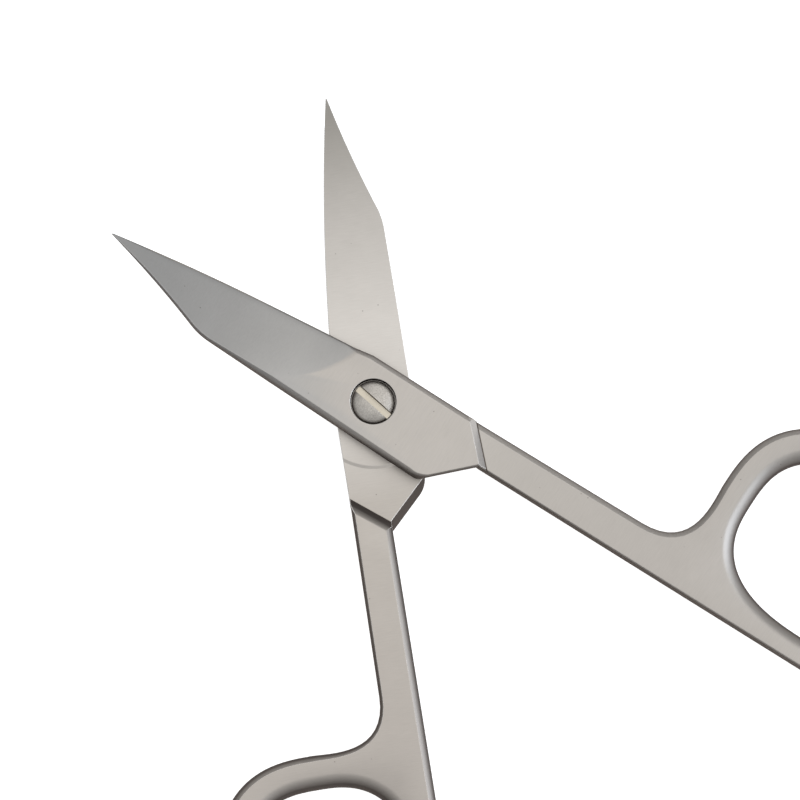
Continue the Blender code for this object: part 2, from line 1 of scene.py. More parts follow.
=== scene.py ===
"""Nail scissors in satin steel, lying open on a pale floor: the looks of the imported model.

Metres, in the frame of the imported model. Each half is drawn in its own plane, then turned into
place: X runs from the pivot towards the finger ring, Y towards the cutting edge and Z from the
riding face out to the outer face.
"""

import json
import math

import bmesh
import bpy
from mathutils import Matrix, Vector


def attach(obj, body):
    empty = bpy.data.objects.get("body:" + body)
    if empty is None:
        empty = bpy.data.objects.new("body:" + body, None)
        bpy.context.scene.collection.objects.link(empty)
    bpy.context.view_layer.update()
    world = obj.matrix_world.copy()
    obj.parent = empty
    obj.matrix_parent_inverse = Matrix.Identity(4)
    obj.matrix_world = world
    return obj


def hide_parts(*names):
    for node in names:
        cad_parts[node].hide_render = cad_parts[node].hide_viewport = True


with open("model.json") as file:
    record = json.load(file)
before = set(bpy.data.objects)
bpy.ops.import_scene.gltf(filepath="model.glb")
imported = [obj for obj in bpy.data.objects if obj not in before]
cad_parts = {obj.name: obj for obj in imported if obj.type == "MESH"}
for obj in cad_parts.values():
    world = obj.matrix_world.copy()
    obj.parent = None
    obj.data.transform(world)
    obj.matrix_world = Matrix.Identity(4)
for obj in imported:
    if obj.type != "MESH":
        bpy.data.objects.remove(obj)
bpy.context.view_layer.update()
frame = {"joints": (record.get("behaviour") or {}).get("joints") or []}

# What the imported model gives
PIVOT = Vector(frame["joints"][0]["pos_m"])

# Halves
CLOSED_LENGTH = 0.0900
OPENING_DEG = 48.0
JOINT_HALF_WIDTH = 0.00370
JOINT_SPINE_SIDE = 0.00380
HALF_THICKNESS = 0.0020
RIDE_GAP = 0.00008
PAD_RADIUS = 0.00587
PAD_HEIGHT = 0.00009
PAD_SLOPE_WIDTH = 0.00030
SIDE_BEVEL_WIDTH = 0.00048
SIDE_BEVEL_HEIGHT = 0.00045

# Blade outline
BLADE_LENGTH = 0.02962
EDGE_MIDDLE_REACH = 0.01445
EDGE_MIDDLE_RISE = 0.00240
EDGE_HEEL_REACH = 0.00445
EDGE_HEEL_RISE = 0.00333
RICASSO_REACH = 0.00240
CLIP_REACH = 0.0173
CLIP_DEPTH = 0.00357
CLIP_HOLLOW = 0.00017
CLIP_ROUND_LENGTH = 0.0010
TIP_HALF_WIDTH = 0.00006

# Blade grind
GRIND_AT_SPINE = 0.0093
GRIND_AT_EDGE = 0.0039
GRIND_BOW = 0.0011
GRIND_LINE_WIDTH = 0.0003
THIN_EDGE_REACH = 0.0150
BEVEL_FADE_RUN = 0.0010
CLIP_THICKNESS = 0.00150
TIP_THICKNESS = 0.00030
EDGE_THICKNESS = 0.00020
CUTTING_BEVEL_WIDTH = 0.00018
EDGE_BEVEL_SHARE = 0.8
TIP_BEVEL_WIDTH = 0.00002
TIP_BEVEL_RUN = 0.0050
CLIP_BEVEL_WIDTH = 0.00018

# Shoulder, which is where the joint ends
INNER_STEP_REACH = 0.01135
INNER_STEP_LEAN = 0.78
INNER_STEP_WIDTH = 0.00130
SHOULDER_BEFORE_STEP = 0.00017
FRONT_SHOULDER_FLARE = 0.00006
REAR_SHOULDER_FLARE = 0.00065
SHOULDER_ROUND_LENGTH = 0.0011
SHOULDER_INNER_ROUND_LENGTH = 0.00035
SHOULDER_BEVEL_WIDTH = 0.00012
SHOULDER_BEVEL_HEIGHT = 0.00012
OUTER_STEP_PAST_INNER = 0.00162
OUTER_STEP_WIDTH = 0.00062
STEP_OVERLAP = 0.00005
HANDLE_LAP = 0.0003
SIDE_PROUD = 0.00002

# Shank
SHANK_THICKNESS = 0.0028
SHANK_INNER_ROOT = 0.00017
SHANK_OUTER_ROOT = 0.00366
SHANK_OUTER_END = 0.00404
FRONT_HANDLE_SET_DEG = 0.68
REAR_HANDLE_SET_DEG = -0.76

# Edge roundings of shank and ring: width across the face, then depth down the side
BACK_OUTER_ROUND = (0.00055, 0.00050)
BACK_INNER_ROUND = (0.00030, 0.00040)
MEETING_OUTER_ROUND = (0.00020, 0.00025)
MEETING_INNER_ROUND = (0.00070, 0.00060)
HOLE_ROUND = (0.00125, 0.00105)
RING_END_ROUND = (0.00060, 0.00060)

# Finger ring
RING_LENGTH = 0.02833
RING_WIDTH = 0.0217
RING_CLEAR_OF_MIDDLE = 0.00045
RING_WALL_AT_SHANK = 0.0032
RING_WALL_AT_END = 0.0026
RING_WALL_AT_BACK = 0.00308
RING_WALL_AT_MIDDLE = 0.00252
RING_SQUARENESS = 2.63
HOLE_UPPER_SQUARENESS = 2.85
HOLE_LOWER_SQUARENESS = 2.65
CROTCH_RUN = 0.00455
CROTCH_FROM_DEG = 180
CROTCH_RING_PULL = 0.00175
CROTCH_SHANK_PULL = 0.0057

# Pivot screw
HEAD_DIAMETER = 0.00406
HEAD_CLEARANCE = 0.00016
HEAD_SEAT_DEPTH = 0.00115
HEAD_DOME = 0.00046
HEAD_BELOW_FACE = 0.00004
HEAD_EDGE_ROUND = 0.00006
SEAT_GAP = 0.00004
PIN_DIAMETER = 0.00260
PIN_CLEARANCE = 0.00004
THREAD_DIAMETER = 0.00220
THREAD_CLEARANCE = 0.00004
SCREW_END_RECESS = 0.00005
SCREW_END_CHAMFER = 0.00015
AXIS_WELD = 0.00001
SLOT_WIDTH = 0.00068
SLOT_DEPTH = 0.00078
SLOT_CORNER_ROUND = 0.00008
SLOT_TURN_DEG = -74.5

# Micro-teeth of the lower blade
TOOTH_PITCH = 0.00024
TOOTH_RADIUS = 0.00007
TOOTH_LENGTH = 0.00020
TEETH_START = 0.0268
TEETH_END = 0.0060
TOOTH_LEAN = -0.9

# Tones along a half, as (share of the longest reach, colour). Their darkening towards the tip and the ring is
# painted shade, and the ground face is painted darker as the shade of its tilt
LONGEST_REACH = 3.0
OUTER_FACE_SHADED_TONES = [
    (0.44, (0.478, 0.450, 0.418)), (0.50, (0.452, 0.426, 0.395)), (0.72, (0.434, 0.408, 0.380)),
]
GROUND_FACE_SHADED_TONES = [
    (0.06, (0.283, 0.283, 0.281)), (0.15, (0.305, 0.302, 0.297)), (0.24, (0.400, 0.393, 0.382)),
]
INNER_FACE_SHADED_TONES = [
    (0.02, (0.285, 0.272, 0.250)), (0.13, (0.472, 0.449, 0.421)), (0.25, (0.600, 0.572, 0.538)),
    (0.36, (0.592, 0.564, 0.529)), (0.44, (0.470, 0.437, 0.400)), (0.80, (0.430, 0.397, 0.366)),
]
# Painted shade: sides that turn away from the top are painted this dark
SIDE_SHADE_COLOUR = (0.125, 0.108, 0.098)
# Dark pits, and painted shade in creases and at the outer step's foot
GRIME_AND_SHADE_COLOUR = (0.07, 0.055, 0.045)
# Painted highlight along outer edges
EDGE_HIGHLIGHT_COLOUR = (1.0, 0.98, 0.95)
LOW_ANGLE_TINT = (0.34, 0.32, 0.31)
SATIN_ROUGHNESS = (0.36, 0.48)
SIDE_ROUGHNESS = 0.68
SATIN_RELIEF = 0.10
BUMP_HEIGHT = 0.00001

# Where each mask starts and where it is full, by facing: 1 outwards, 0 sideways, -1 inwards
INNER_FACE_FACING = (-0.2, -0.9)
OUTER_SIDE_FACING = (0.93, 0.52)
INNER_SIDE_FACING = (-0.95, -0.66)
STEP_FACING = (0.5, 0.65)
EDGE_SHINE_FACING = (0.3, -0.3)
EDGE_SHINE = (0.5, 1.5)

# Grain, specks, a painted highlight along edges, painted shade in creases and a painted shade line at the
# outer step's foot
LINES_PER_METRE = 9000.0
LINE_STRETCH = 12.0
LINE_DETAIL = 3.0
LINE_RAGGEDNESS = 0.6
BLOTCHES_PER_METRE = 420.0
BLOTCH_DETAIL = 2.0
BLOTCH_SHARE = 0.35
GRAIN_TONE = (0.25, 0.75)
GRAIN_CONTRAST = (0.93, 1.07)
SPECKS_PER_METRE = 700.0
SPECK_EDGE = (0.055, 0.02)
SPECK_GRIME = 0.6
EDGE_RADIUS = 0.00009
EDGE_LIKENESS = (0.99, 0.92)
OPEN_SIDE_POWER = 6.0
CREASE_REACH = 0.00016
CREASE_OPENNESS = (0.68, 0.40)
CREASE_SHADE = 0.85
NEARBY_SAMPLES = 8
STEP_SHADE_LIFT = 0.6
FOOT_LINE_WIDTH = 0.00017
FOOT_LINE_SOFTNESS = 0.00005
FOOT_LINE_SHADE = 0.95

# Finish of the screw, with a painted highlight on its edges and painted light on its slot floor
HEAD_TONES = [(0.36, (0.34, 0.32, 0.295)), (0.62, (0.57, 0.545, 0.505))]
SLOT_FLOOR_LIGHT_COLOUR = (0.60, 0.55, 0.46)
HEAD_EDGE_HIGHLIGHT_COLOUR = (0.70, 0.66, 0.60)
HEAD_ROUGHNESS = 0.36
HEAD_RELIEF = 0.08
RINGS_PER_METRE = 2600.0
RING_WANDER = 1.2
SLOT_FLOOR_BLEND = (0.00006, 0.00002)

# Counts of points
CLIP_POINTS = 10
CLIP_ROUND_POINTS = 7
SPINE_POINTS = 16
GRIND_COLUMNS = 10
SHOULDER_POINTS = 9
BEVEL_STEPS = 6
STEP_POINTS = 10
SHANK_POINTS = 8
RING_STEP_DEG = 3
CROTCH_POINTS = 16
ROUND_STEPS = 7
HOLE_SIDES = 144
DOME_STEPS = 16
SLOT_ROUND_POINTS = 7
TEETH_LINE_STEPS = 40
TOOTH_SIDES = 8

CREASE_DEG = 24
BEVEL_ROUNDNESS_SHARE = 0.35
HOLE_ROUNDNESS_SHARE = 0.6
CUT_OVERRUN = 0.0010

SHOULDER_REACH = INNER_STEP_REACH - SHOULDER_BEFORE_STEP
OUTER_STEP_REACH = INNER_STEP_REACH + OUTER_STEP_PAST_INNER
MIDDLE_Z = HALF_THICKNESS + RIDE_GAP / 2
RING_END = CLOSED_LENGTH - BLADE_LENGTH
SHANK_OUTER_END_REACH = RING_END - RING_LENGTH - CROTCH_RUN
SHANK_TOP = SHANK_THICKNESS / 2 - RIDE_GAP / 2
SHANK_BOTTOM = -SHANK_THICKNESS / 2 - RIDE_GAP / 2

# Photograph
PIXELS_PER_METRE = 10590
PICTURE_PIXELS = 800
SCREW_PIXEL = (373.3, 401.5)
PICTURE_UP_DEG = 57.25
CAMERA_TILT_DEG = 7.0
CAMERA_DISTANCE = 0.90
CAMERA_NEAREST = 0.01
SENSOR_MM = 36.0

# Stage
FLOOR_HALF_SIZE = 0.9
FLOOR_CLEARANCE = 0.00002
FLOOR_COLOUR = (0.86, 0.86, 0.86)
FLOOR_ROUGHNESS = 0.9
FLOOR_GLOW = 0.74
SURROUND_COLOUR = (0.905, 0.91, 0.915)
SURROUND_ON_LEFT = 0.10
SURROUND_ON_RIGHT = 0.46
SURROUND_ABOVE = 0.72
SURROUND_RISE = (0.16, 0.50)

# Lamps: way to the right, up the picture and above the floor, then side, power and colour
SOFT_BOX = ((0.08, 0.15, 0.50), 0.72, 0.96, (1.0, 0.985, 0.965))
RIGHT_BOX = ((0.48, -0.04, 0.17), 0.44, 1.60, (0.80, 0.88, 1.0))


def mix(low, high, share):
    return low + (high - low) * share


def mix_each(low, high, share):
    return tuple(mix(a, b, share) for a, b in zip(low, high))


def shares(count):
    """Even shares of the way from just after a start to its end."""
    return [(i + 1) / count for i in range(count)]


def late_shares(count):
    """Shares of the way from just after a start to its end, closer together towards the end."""
    return [1 - (1 - share) ** 2 for share in shares(count)]


def smooth_share(value):
    """Ease a share in and out, and keep it within 0 and 1."""
    value = min(1, max(0, value))
    return value * value * (3 - 2 * value)


# Shapes of a half


def arc_through(start, middle, end):
    """A function of X: the height of the circle that runs through three points of one side."""
    ax, ay = start
    bx, by = middle
    cx, cy = end
    d = 2 * (ax * (by - cy) + bx * (cy - ay) + cx * (ay - by))
    ux = ((ax**2 + ay**2) * (by - cy) + (bx**2 + by**2) * (cy - ay) + (cx**2 + cy**2) * (ay - by)) / d
    uy = ((ax**2 + ay**2) * (cx - bx) + (bx**2 + by**2) * (ax - cx) + (cx**2 + cy**2) * (bx - ax)) / d
    radius = math.hypot(ax - ux, ay - uy)
    side = math.copysign(1, by - uy)
    return lambda x: uy + side * math.sqrt(radius**2 - (x - ux) ** 2)


def bend(before, corner, after, count):
    """Points that round a corner, as a quadratic curve between two points on its sides."""
    before, corner, after = Vector(before), Vector(corner), Vector(after)
    found = []
    for i in range(count):
        t = i / (count - 1)
        found.append(tuple(before * (1 - t) ** 2 + corner * (2 * t * (1 - t)) + after * t**2))
    return found


def bevel_profile(steps, roundness):
    """(inset share, drop share) at each step up a bevel, between a flat chamfer and a rounding."""
    found = []
    for step in range(steps + 1):
        share = step / steps
        turn = math.pi / 2 * share
        across = mix(share, 1 - math.cos(turn), roundness)
        drop = mix(1 - share, 1 - math.sin(turn), roundness)
        found.append((across, drop))
    return found


def inset(points, widths):
    """The closed outline moved inwards by a width at each point. It runs counter-clockwise."""
    moved = []
    for i, here in enumerate(points):
        before = points[i - 1]
        after = points[(i + 1) % len(points)]
        first = Vector((here[0] - before[0], here[1] - before[1])).normalized()
        second = Vector((after[0] - here[0], after[1] - here[1])).normalized()
        normals = Vector((-first.y, first.x)), Vector((-second.y, second.x))
        way = (normals[0] + normals[1]) / (1 + normals[0].dot(normals[1]))
        moved.append((here[0] + way.x * widths[i], here[1] + way.y * widths[i]))
    return moved


def superellipse(centre, size, degrees, squareness):
    """A point of a rounded oval, counter-clockwise from its +X end."""
    angle = math.radians(degrees)
    c, s = math.cos(angle), math.sin(angle)
    x = math.copysign(abs(c) ** (2 / squareness), c) * size[0] / 2
    y = math.copysign(abs(s) ** (2 / squareness), s) * size[1] / 2
    return centre[0] + x, centre[1] + y


def new_object(name, bm):
    bmesh.ops.recalc_face_normals(bm, faces=bm.faces[:])
    mesh = bpy.data.meshes.new(name)
    bm.to_mesh(mesh)
    bm.free()
    made = bpy.data.objects.new(name, mesh)
    bpy.context.scene.collection.objects.link(made)
    return made


def boolean(target, other, operation):
    """Join or cut, then keep the result as a plain mesh and remove the tool."""
    modifier = target.modifiers.new("boolean", "BOOLEAN")
    modifier.operation = operation
    modifier.solver = "EXACT"
    modifier.object = other
    graph = bpy.context.evaluated_depsgraph_get()
    result = bpy.data.meshes.new_from_object(target.evaluated_get(graph), depsgraph=graph)
    target.modifiers.remove(modifier)
    target.data = result
    bpy.data.objects.remove(other, do_unlink=True)


def add_loops(bm, rings):
    """Add one closed ring of vertices for each level, joined by sides."""
    made = [[bm.verts.new(point) for point in ring] for ring in rings]
    for low, high in zip(made, made[1:]):
        for i in range(len(low)):
            j = (i + 1) % len(low)
            bm.faces.new((low[i], low[j], high[j], high[i]))
    return made


def prism(name, ends):
    """A solid between two alike rings of points."""
    bm = bmesh.new()
    for ring in add_loops(bm, ends):
        bm.faces.new(ring)
    return new_object(name, bm)


def spine_side(x):
    """The straight back of the blade, between the clip and the pivot."""
    return mix(-CLIP_DEPTH, -JOINT_SPINE_SIDE, (x + CLIP_REACH) / CLIP_REACH)


def spine_stations():
    """The back of the blade from the tip to the grind line, as (x, y, thickness, bevel width)."""
    tip = (-BLADE_LENGTH, -TIP_HALF_WIDTH)
    corner = (-CLIP_REACH, -CLIP_DEPTH)
    clip_share = CLIP_ROUND_LENGTH / (BLADE_LENGTH - CLIP_REACH)
    before = (mix(corner[0], tip[0], clip_share), mix(corner[1], tip[1], clip_share))
    after = (corner[0] + CLIP_ROUND_LENGTH, spine_side(corner[0] + CLIP_ROUND_LENGTH))
    stations = [(*tip, TIP_THICKNESS, TIP_BEVEL_WIDTH)]
    for share in shares(CLIP_POINTS)[:-1]:
        x = mix(tip[0], before[0], share)
        y = mix(tip[1], before[1], share) + 4 * CLIP_HOLLOW * share * (1 - share)
        grown = min(1, (x + BLADE_LENGTH) / TIP_BEVEL_RUN)
        width = mix(TIP_BEVEL_WIDTH, CLIP_BEVEL_WIDTH, grown)
        stations.append((x, y, mix(TIP_THICKNESS, CLIP_THICKNESS, share), width))
    for x, y in bend(before, corner, after, CLIP_ROUND_POINTS):
        stations.append((x, y, CLIP_THICKNESS, CLIP_BEVEL_WIDTH))
    for share in late_shares(SPINE_POINTS):
        x = mix(after[0], -GRIND_AT_SPINE, share)
        thickness = mix(CLIP_THICKNESS, HALF_THICKNESS, share)
        stations.append((x, spine_side(x), thickness, mix(CLIP_BEVEL_WIDTH, SIDE_BEVEL_WIDTH, share)))
    return stations


def edge_height():
    """A function of X: how far the cutting edge lies from the middle line."""
    heel = (-EDGE_HEEL_REACH, EDGE_HEEL_RISE)
    arc = arc_through((-BLADE_LENGTH, TIP_HALF_WIDTH), (-EDGE_MIDDLE_REACH, EDGE_MIDDLE_RISE), heel)

    def height(x):
        if x <= heel[0]:
            return arc(x)
        return mix(heel[1], JOINT_HALF_WIDTH, (x - heel[0]) / (-RICASSO_REACH - heel[0]))

    return height


def edge_thickness(x):
    """Thickness at the cutting edge, which grows to the joint's towards the heel."""
    grown = max(0, (x + THIN_EDGE_REACH) / (THIN_EDGE_REACH - GRIND_AT_EDGE))
    return mix(EDGE_THICKNESS, HALF_THICKNESS, grown**2)


def edge_stations():
    """The cutting edge from the tip to the grind line, station for station with the back."""
    height = edge_height()
    stations = [(-BLADE_LENGTH, TIP_HALF_WIDTH, TIP_THICKNESS, TIP_BEVEL_WIDTH)]
    for share in shares(CLIP_POINTS - 1 + CLIP_ROUND_POINTS):
        x = mix(-BLADE_LENGTH, -THIN_EDGE_REACH, share)
        grown = min(1, (x + BLADE_LENGTH) / TIP_BEVEL_RUN)
        width = mix(TIP_BEVEL_WIDTH, CUTTING_BEVEL_WIDTH, grown)
        stations.append((x, height(x), mix(TIP_THICKNESS, EDGE_THICKNESS, grown), width))
    for share in late_shares(SPINE_POINTS):
        x = mix(-THIN_EDGE_REACH, -GRIND_AT_EDGE, share)
        faded = min(1, (-GRIND_AT_EDGE - x) / BEVEL_FADE_RUN)
        width = mix(SIDE_BEVEL_WIDTH, CUTTING_BEVEL_WIDTH, faded)
        stations.append((x, height(x), edge_thickness(x), width))
    return stations


def back_slope():
    """Slope of the shank's back, the side away from the other half, before its set."""
    return (SHANK_OUTER_END - SHANK_OUTER_ROOT) / (SHANK_OUTER_END_REACH - PAD_RADIUS)


def back_side(x, handle_set):
    """How far the shank's back lies from the middle line at x."""
    straight = SHANK_OUTER_ROOT + back_slope() * (x - PAD_RADIUS)
    return straight + x * math.tan(math.radians(handle_set))


def meeting_side(x, handle_set):
    """How far the shank's other side, which meets the other half, lies from the middle line at x."""
    run = RING_END - RING_LENGTH / 2 - INNER_STEP_REACH
    straight = mix(SHANK_INNER_ROOT, RING_CLEAR_OF_MIDDLE, (x - INNER_STEP_REACH) / run)
    return straight + x * math.tan(math.radians(handle_set))


def joint_outline(flare, handle_set):
    """The outline of blade and joint, counter-clockwise from the tip's back.

    Each point is (x, y, top, bevel width, bevel height, (x, y) at the inner face).
    """
    bevel_share = SIDE_BEVEL_HEIGHT / SIDE_BEVEL_WIDTH
    back = []
    for x, y, top, width in spine_stations():
        back.append((x, y, top, width, min(width * bevel_share, top / 2), (x, y)))
    edge = []
    for x, y, top, width in edge_stations():
        edge.append((x, y, top, width, min(width * bevel_share, top * EDGE_BEVEL_SHARE), (x, y)))
    reach = SHOULDER_REACH + flare * math.sqrt(2)
    outer_bend = shoulder_bend(reach, SHOULDER_ROUND_LENGTH)
    inner_bend = shoulder_bend(SHOULDER_REACH, SHOULDER_INNER_ROUND_LENGTH)
    shoulder = []
    for share, (x, y), inner in zip(shares(SHOULDER_POINTS), outer_bend, inner_bend):
        width = mix(SIDE_BEVEL_WIDTH, SHOULDER_BEVEL_WIDTH, share)
        height = mix(SIDE_BEVEL_HEIGHT, SHOULDER_BEVEL_HEIGHT, share)
        shoulder.append((x, y, HALF_THICKNESS, width, height, inner))
    root_y = meeting_side(reach, handle_set) + MEETING_OUTER_ROUND[0] / 2
    foot_y = meeting_side(OUTER_STEP_REACH, handle_set) + MEETING_OUTER_ROUND[0]
    slope = back_slope() + math.tan(math.radians(handle_set))
    end_x = (OUTER_STEP_REACH - back_side(0, handle_set) - SIDE_PROUD) / (1 + slope)
    near_x = end_x - 2 * OUTER_STEP_WIDTH
    ending = [
        (reach + root_y, root_y),
        (OUTER_STEP_REACH - foot_y, foot_y),
        (end_x, OUTER_STEP_REACH - end_x),
        (near_x, back_side(near_x, handle_set) + SIDE_PROUD),
        (-RICASSO_REACH, JOINT_HALF_WIDTH),
    ]
    thin = (HALF_THICKNESS, SHOULDER_BEVEL_WIDTH, SHOULDER_BEVEL_HEIGHT)
    broad = (HALF_THICKNESS, SIDE_BEVEL_WIDTH, SIDE_BEVEL_HEIGHT)
    ending = [(*place, *form, place) for place, form in zip(ending, (thin, thin, broad, broad, broad))]
    ending[0] = (*ending[0][:5], (SHOULDER_REACH + root_y, root_y))
    return back + shoulder + ending + edge[::-1], len(back)


def shoulder_bend(reach, round_length):
    """The rounded corner between the back of the joint and a shoulder line at its reach."""
    corner = (reach - JOINT_SPINE_SIDE, -JOINT_SPINE_SIDE)
    before = (corner[0] - round_length, corner[1])
    step = round_length / math.sqrt(2)
    return bend(before, corner, (corner[0] + step, corner[1] + step), SHOULDER_POINTS)


def blade_and_joint(name, flare, handle_set):
    """Blade and joint as one solid, without its holes."""
    outline, stations = joint_outline(flare, handle_set)
    plan = [point[:2] for point in outline]
    rings = [[(*point[5], 0.0) for point in outline]]
    for across, drop in bevel_profile(BEVEL_STEPS, BEVEL_ROUNDNESS_SHARE):
        moved = inset(plan, [point[3] * across for point in outline])
        heights = [point[2] - point[4] * drop for point in outline]
        rings.append([(x, y, z) for (x, y), z in zip(moved, heights)])
    bm = bmesh.new()
    bottom, *_, top = add_loops(bm, rings)
    bm.faces.new(bottom)
    rows = []
    for i in range(1, stations):
        back, edge = top[i], top[-1 - i]
        run = max(0, i + 1 + SPINE_POINTS - stations) / SPINE_POINTS
        row = [back]
        for share in shares(GRIND_COLUMNS + 1)[:-1]:
            place = back.co.lerp(edge.co, share)
            place.x += GRIND_BOW * run * (1 - (2 * share - 1) ** 2)
            row.append(bm.verts.new(place))
        rows.append(row + [edge])
    bm.faces.new([top[0], *rows[0], top[-1]])
    for near, far in zip(rows, rows[1:]):
        for i in range(len(near) - 1):
            bm.faces.new((near[i], far[i], far[i + 1], near[i + 1]))
    bm.faces.new(top[stations - 1 : len(top) - stations + 1] + rows[-1][-2:0:-1])
    return new_object(name, bm)


def turned(point, degrees):
    """A point of the plane turned about the pivot."""
    angle = math.radians(degrees)
    c, s = math.cos(angle), math.sin(angle)
    return point[0] * c - point[1] * s, point[0] * s + point[1] * c


def bezier(start, first, second, end, count):
    """Points of a cubic curve, without its start."""
    points = (start, first, second, end)
    found = []
    for t in shares(count):
        u = 1 - t
        weights = (u**3, 3 * u**2 * t, 3 * u * t**2, t**3)
        found.append(tuple(sum(w * p[k] for w, p in zip(weights, points)) for k in (0, 1)))
    return found


def handle_outline():
    """Outer outline of shank and ring, counter-clockwise from inside the joint.

    Each point is (x, y, outer rounding, inner rounding).
    """
    centre = (RING_END - RING_LENGTH / 2, RING_CLEAR_OF_MIDDLE + RING_WIDTH / 2)
    size = (RING_LENGTH, RING_WIDTH)
    start_reach = INNER_STEP_REACH - HANDLE_LAP
    root = (start_reach - SHANK_INNER_ROOT * INNER_STEP_LEAN, SHANK_INNER_ROOT)
    found = [(*root, MEETING_OUTER_ROUND, MEETING_INNER_ROUND)]
    for share in shares(SHANK_POINTS)[:-1]:
        x = mix(root[0], centre[0], share)
        y = mix(SHANK_INNER_ROOT, RING_CLEAR_OF_MIDDLE, share)
        found.append((x, y, MEETING_OUTER_ROUND, MEETING_INNER_ROUND))
    for degrees in range(-90, CROTCH_FROM_DEG + 1, RING_STEP_DEG):
        x, y = superellipse(centre, size, degrees, RING_SQUARENESS)
        blend = min(1, (degrees + 90) / 90)
        outer = mix_each(MEETING_OUTER_ROUND, RING_END_ROUND, blend)
        inner = mix_each(MEETING_INNER_ROUND, RING_END_ROUND, blend)
        found.append((x, y, outer, inner))
    start = found[-1][:2]
    near = superellipse(centre, size, CROTCH_FROM_DEG - 1, RING_SQUARENESS)
    along = Vector((start[0] - near[0], start[1] - near[1])).normalized() * CROTCH_RING_PULL
    end = (SHANK_OUTER_END_REACH, SHANK_OUTER_END)
    back = Vector((1, back_slope())).normalized() * CROTCH_SHANK_PULL
    first = (start[0] + along.x, start[1] + along.y)
    second = (end[0] + back.x, end[1] + back.y)
    for share, (x, y) in zip(shares(CROTCH_POINTS), bezier(start, first, second, end, CROTCH_POINTS)):
        outer = mix_each(RING_END_ROUND, BACK_OUTER_ROUND, share)
        inner = mix_each(RING_END_ROUND, BACK_INNER_ROUND, share)
        found.append((x, y, outer, inner))
    last_x = start_reach - SHANK_OUTER_ROOT * INNER_STEP_LEAN
    for share in shares(SHANK_POINTS):
        x = mix(end[0], last_x, share)
        found.append((x, back_side(x, 0), BACK_OUTER_ROUND, BACK_INNER_ROUND))
    return found


def hole_outline():
    """The finger hole, clockwise, so that an inset widens it."""
    length = RING_LENGTH - RING_WALL_AT_SHANK - RING_WALL_AT_END
    width = RING_WIDTH - RING_WALL_AT_BACK - RING_WALL_AT_MIDDLE
    centre = (
        RING_END - RING_WALL_AT_END - length / 2,
        RING_CLEAR_OF_MIDDLE + RING_WALL_AT_MIDDLE + width / 2,
    )
    found = []
    for degrees in range(0, -360, -RING_STEP_DEG):
        upper = degrees <= -180 or degrees == 0
        squareness = HOLE_UPPER_SQUARENESS if upper else HOLE_LOWER_SQUARENESS
        x, y = superellipse(centre, (length, width), degrees, squareness)
        found.append((x, y, HOLE_ROUND, HOLE_ROUND))
    return found


def rounded_rings(outline, roundness):
    """Levels of a side wall, from its inner face to its outer face, with both edges taken off."""
    plan = [point[:2] for point in outline]
    profile = bevel_profile(ROUND_STEPS, roundness)
    rings = []
    for across, drop in reversed(profile):
        moved = inset(plan, [point[3][0] * across for point in outline])
        heights = [SHANK_BOTTOM + point[3][1] * drop for point in outline]
        rings.append([(x, y, z) for (x, y), z in zip(moved, heights)])
    for across, drop in profile:
        moved = inset(plan, [point[2][0] * across for point in outline])
        heights = [SHANK_TOP - point[2][1] * drop for point in outline]
        rings.append([(x, y, z) for (x, y), z in zip(moved, heights)])
    return rings


def shank_and_ring(name, handle_set):
    """Shank and finger ring as one solid, with the edges taken off."""
    bm = bmesh.new()
    caps = [], []
    walls = [(handle_outline(), BEVEL_ROUNDNESS_SHARE), (hole_outline(), HOLE_ROUNDNESS_SHARE)]
    for outline, roundness in walls:
        rings = rounded_rings(outline, roundness)
        rows = add_loops(bm, [[(*turned(point, handle_set), point[2]) for point in ring] for ring in rings])
        for cap, row in zip(caps, (rows[0], rows[-1])):
            for i, vertex in enumerate(row):
                cap.append(bm.edges.get((vertex, row[(i + 1) % len(row)])))
    for cap in caps:
        bmesh.ops.triangle_fill(bm, use_beauty=True, use_dissolve=False, edges=cap)
    return new_object(name, bm)


def upright_cone(name, low_radius, high_radius, low, high):
    """A cone or cylinder about the pivot."""
    bm = bmesh.new()
    bmesh.ops.create_cone(
        bm, cap_ends=True, segments=HOLE_SIDES, radius1=low_radius, radius2=high_radius, depth=high - low
    )
    bmesh.ops.translate(bm, verts=bm.verts[:], vec=(0, 0, (low + high) / 2))
    return new_object(name, bm)


def step_cutter(name, reach, lean, profile):
    """A bar across a half, over the line x + lean * y = reach.

    Each point of its profile is (distance past the line, z).
    """
    length = math.hypot(1, lean)
    past_way = Vector((1, lean)) / length
    along_way = Vector((-lean, 1)) / length
    rings = []
    for along in (-OUTER_STEP_REACH, 0):
        places = [past_way * (reach / length + past) + along_way * along for past, z in profile]
        rings.append([(place.x, place.y, z) for place, (past, z) in zip(places, profile)])
    return prism(name, rings)


def outer_step(name):
    """The cut that slopes the joint's outer face down to the shank's."""
    drop = HALF_THICKNESS - SHANK_TOP + STEP_OVERLAP
    rise = CUT_OVERRUN * drop / OUTER_STEP_WIDTH
    low = (CUT_OVERRUN, SHANK_TOP - STEP_OVERLAP - rise)
    high = (-OUTER_STEP_WIDTH - CUT_OVERRUN, HALF_THICKNESS + rise)
    return step_cutter(name, OUTER_STEP_REACH, 1, [low, (CUT_OVERRUN, HALF_THICKNESS + rise), high])


def inner_step(name):
    """The cut that starts the shank's inner side at the joint, with a wall that rounds over."""
    depth = STEP_OVERLAP - SHANK_BOTTOM
    behind = -HANDLE_LAP - CUT_OVERRUN
    profile = [(behind, STEP_OVERLAP), (0, STEP_OVERLAP)]
    for across, drop in bevel_profile(STEP_POINTS, HOLE_ROUNDNESS_SHARE):
        profile.append((INNER_STEP_WIDTH * across, -depth * (1 - drop)))
    profile += [(INNER_STEP_WIDTH, -depth - CUT_OVERRUN), (behind, -depth - CUT_OVERRUN)]
    return step_cutter(name, INNER_STEP_REACH, INNER_STEP_LEAN, profile)


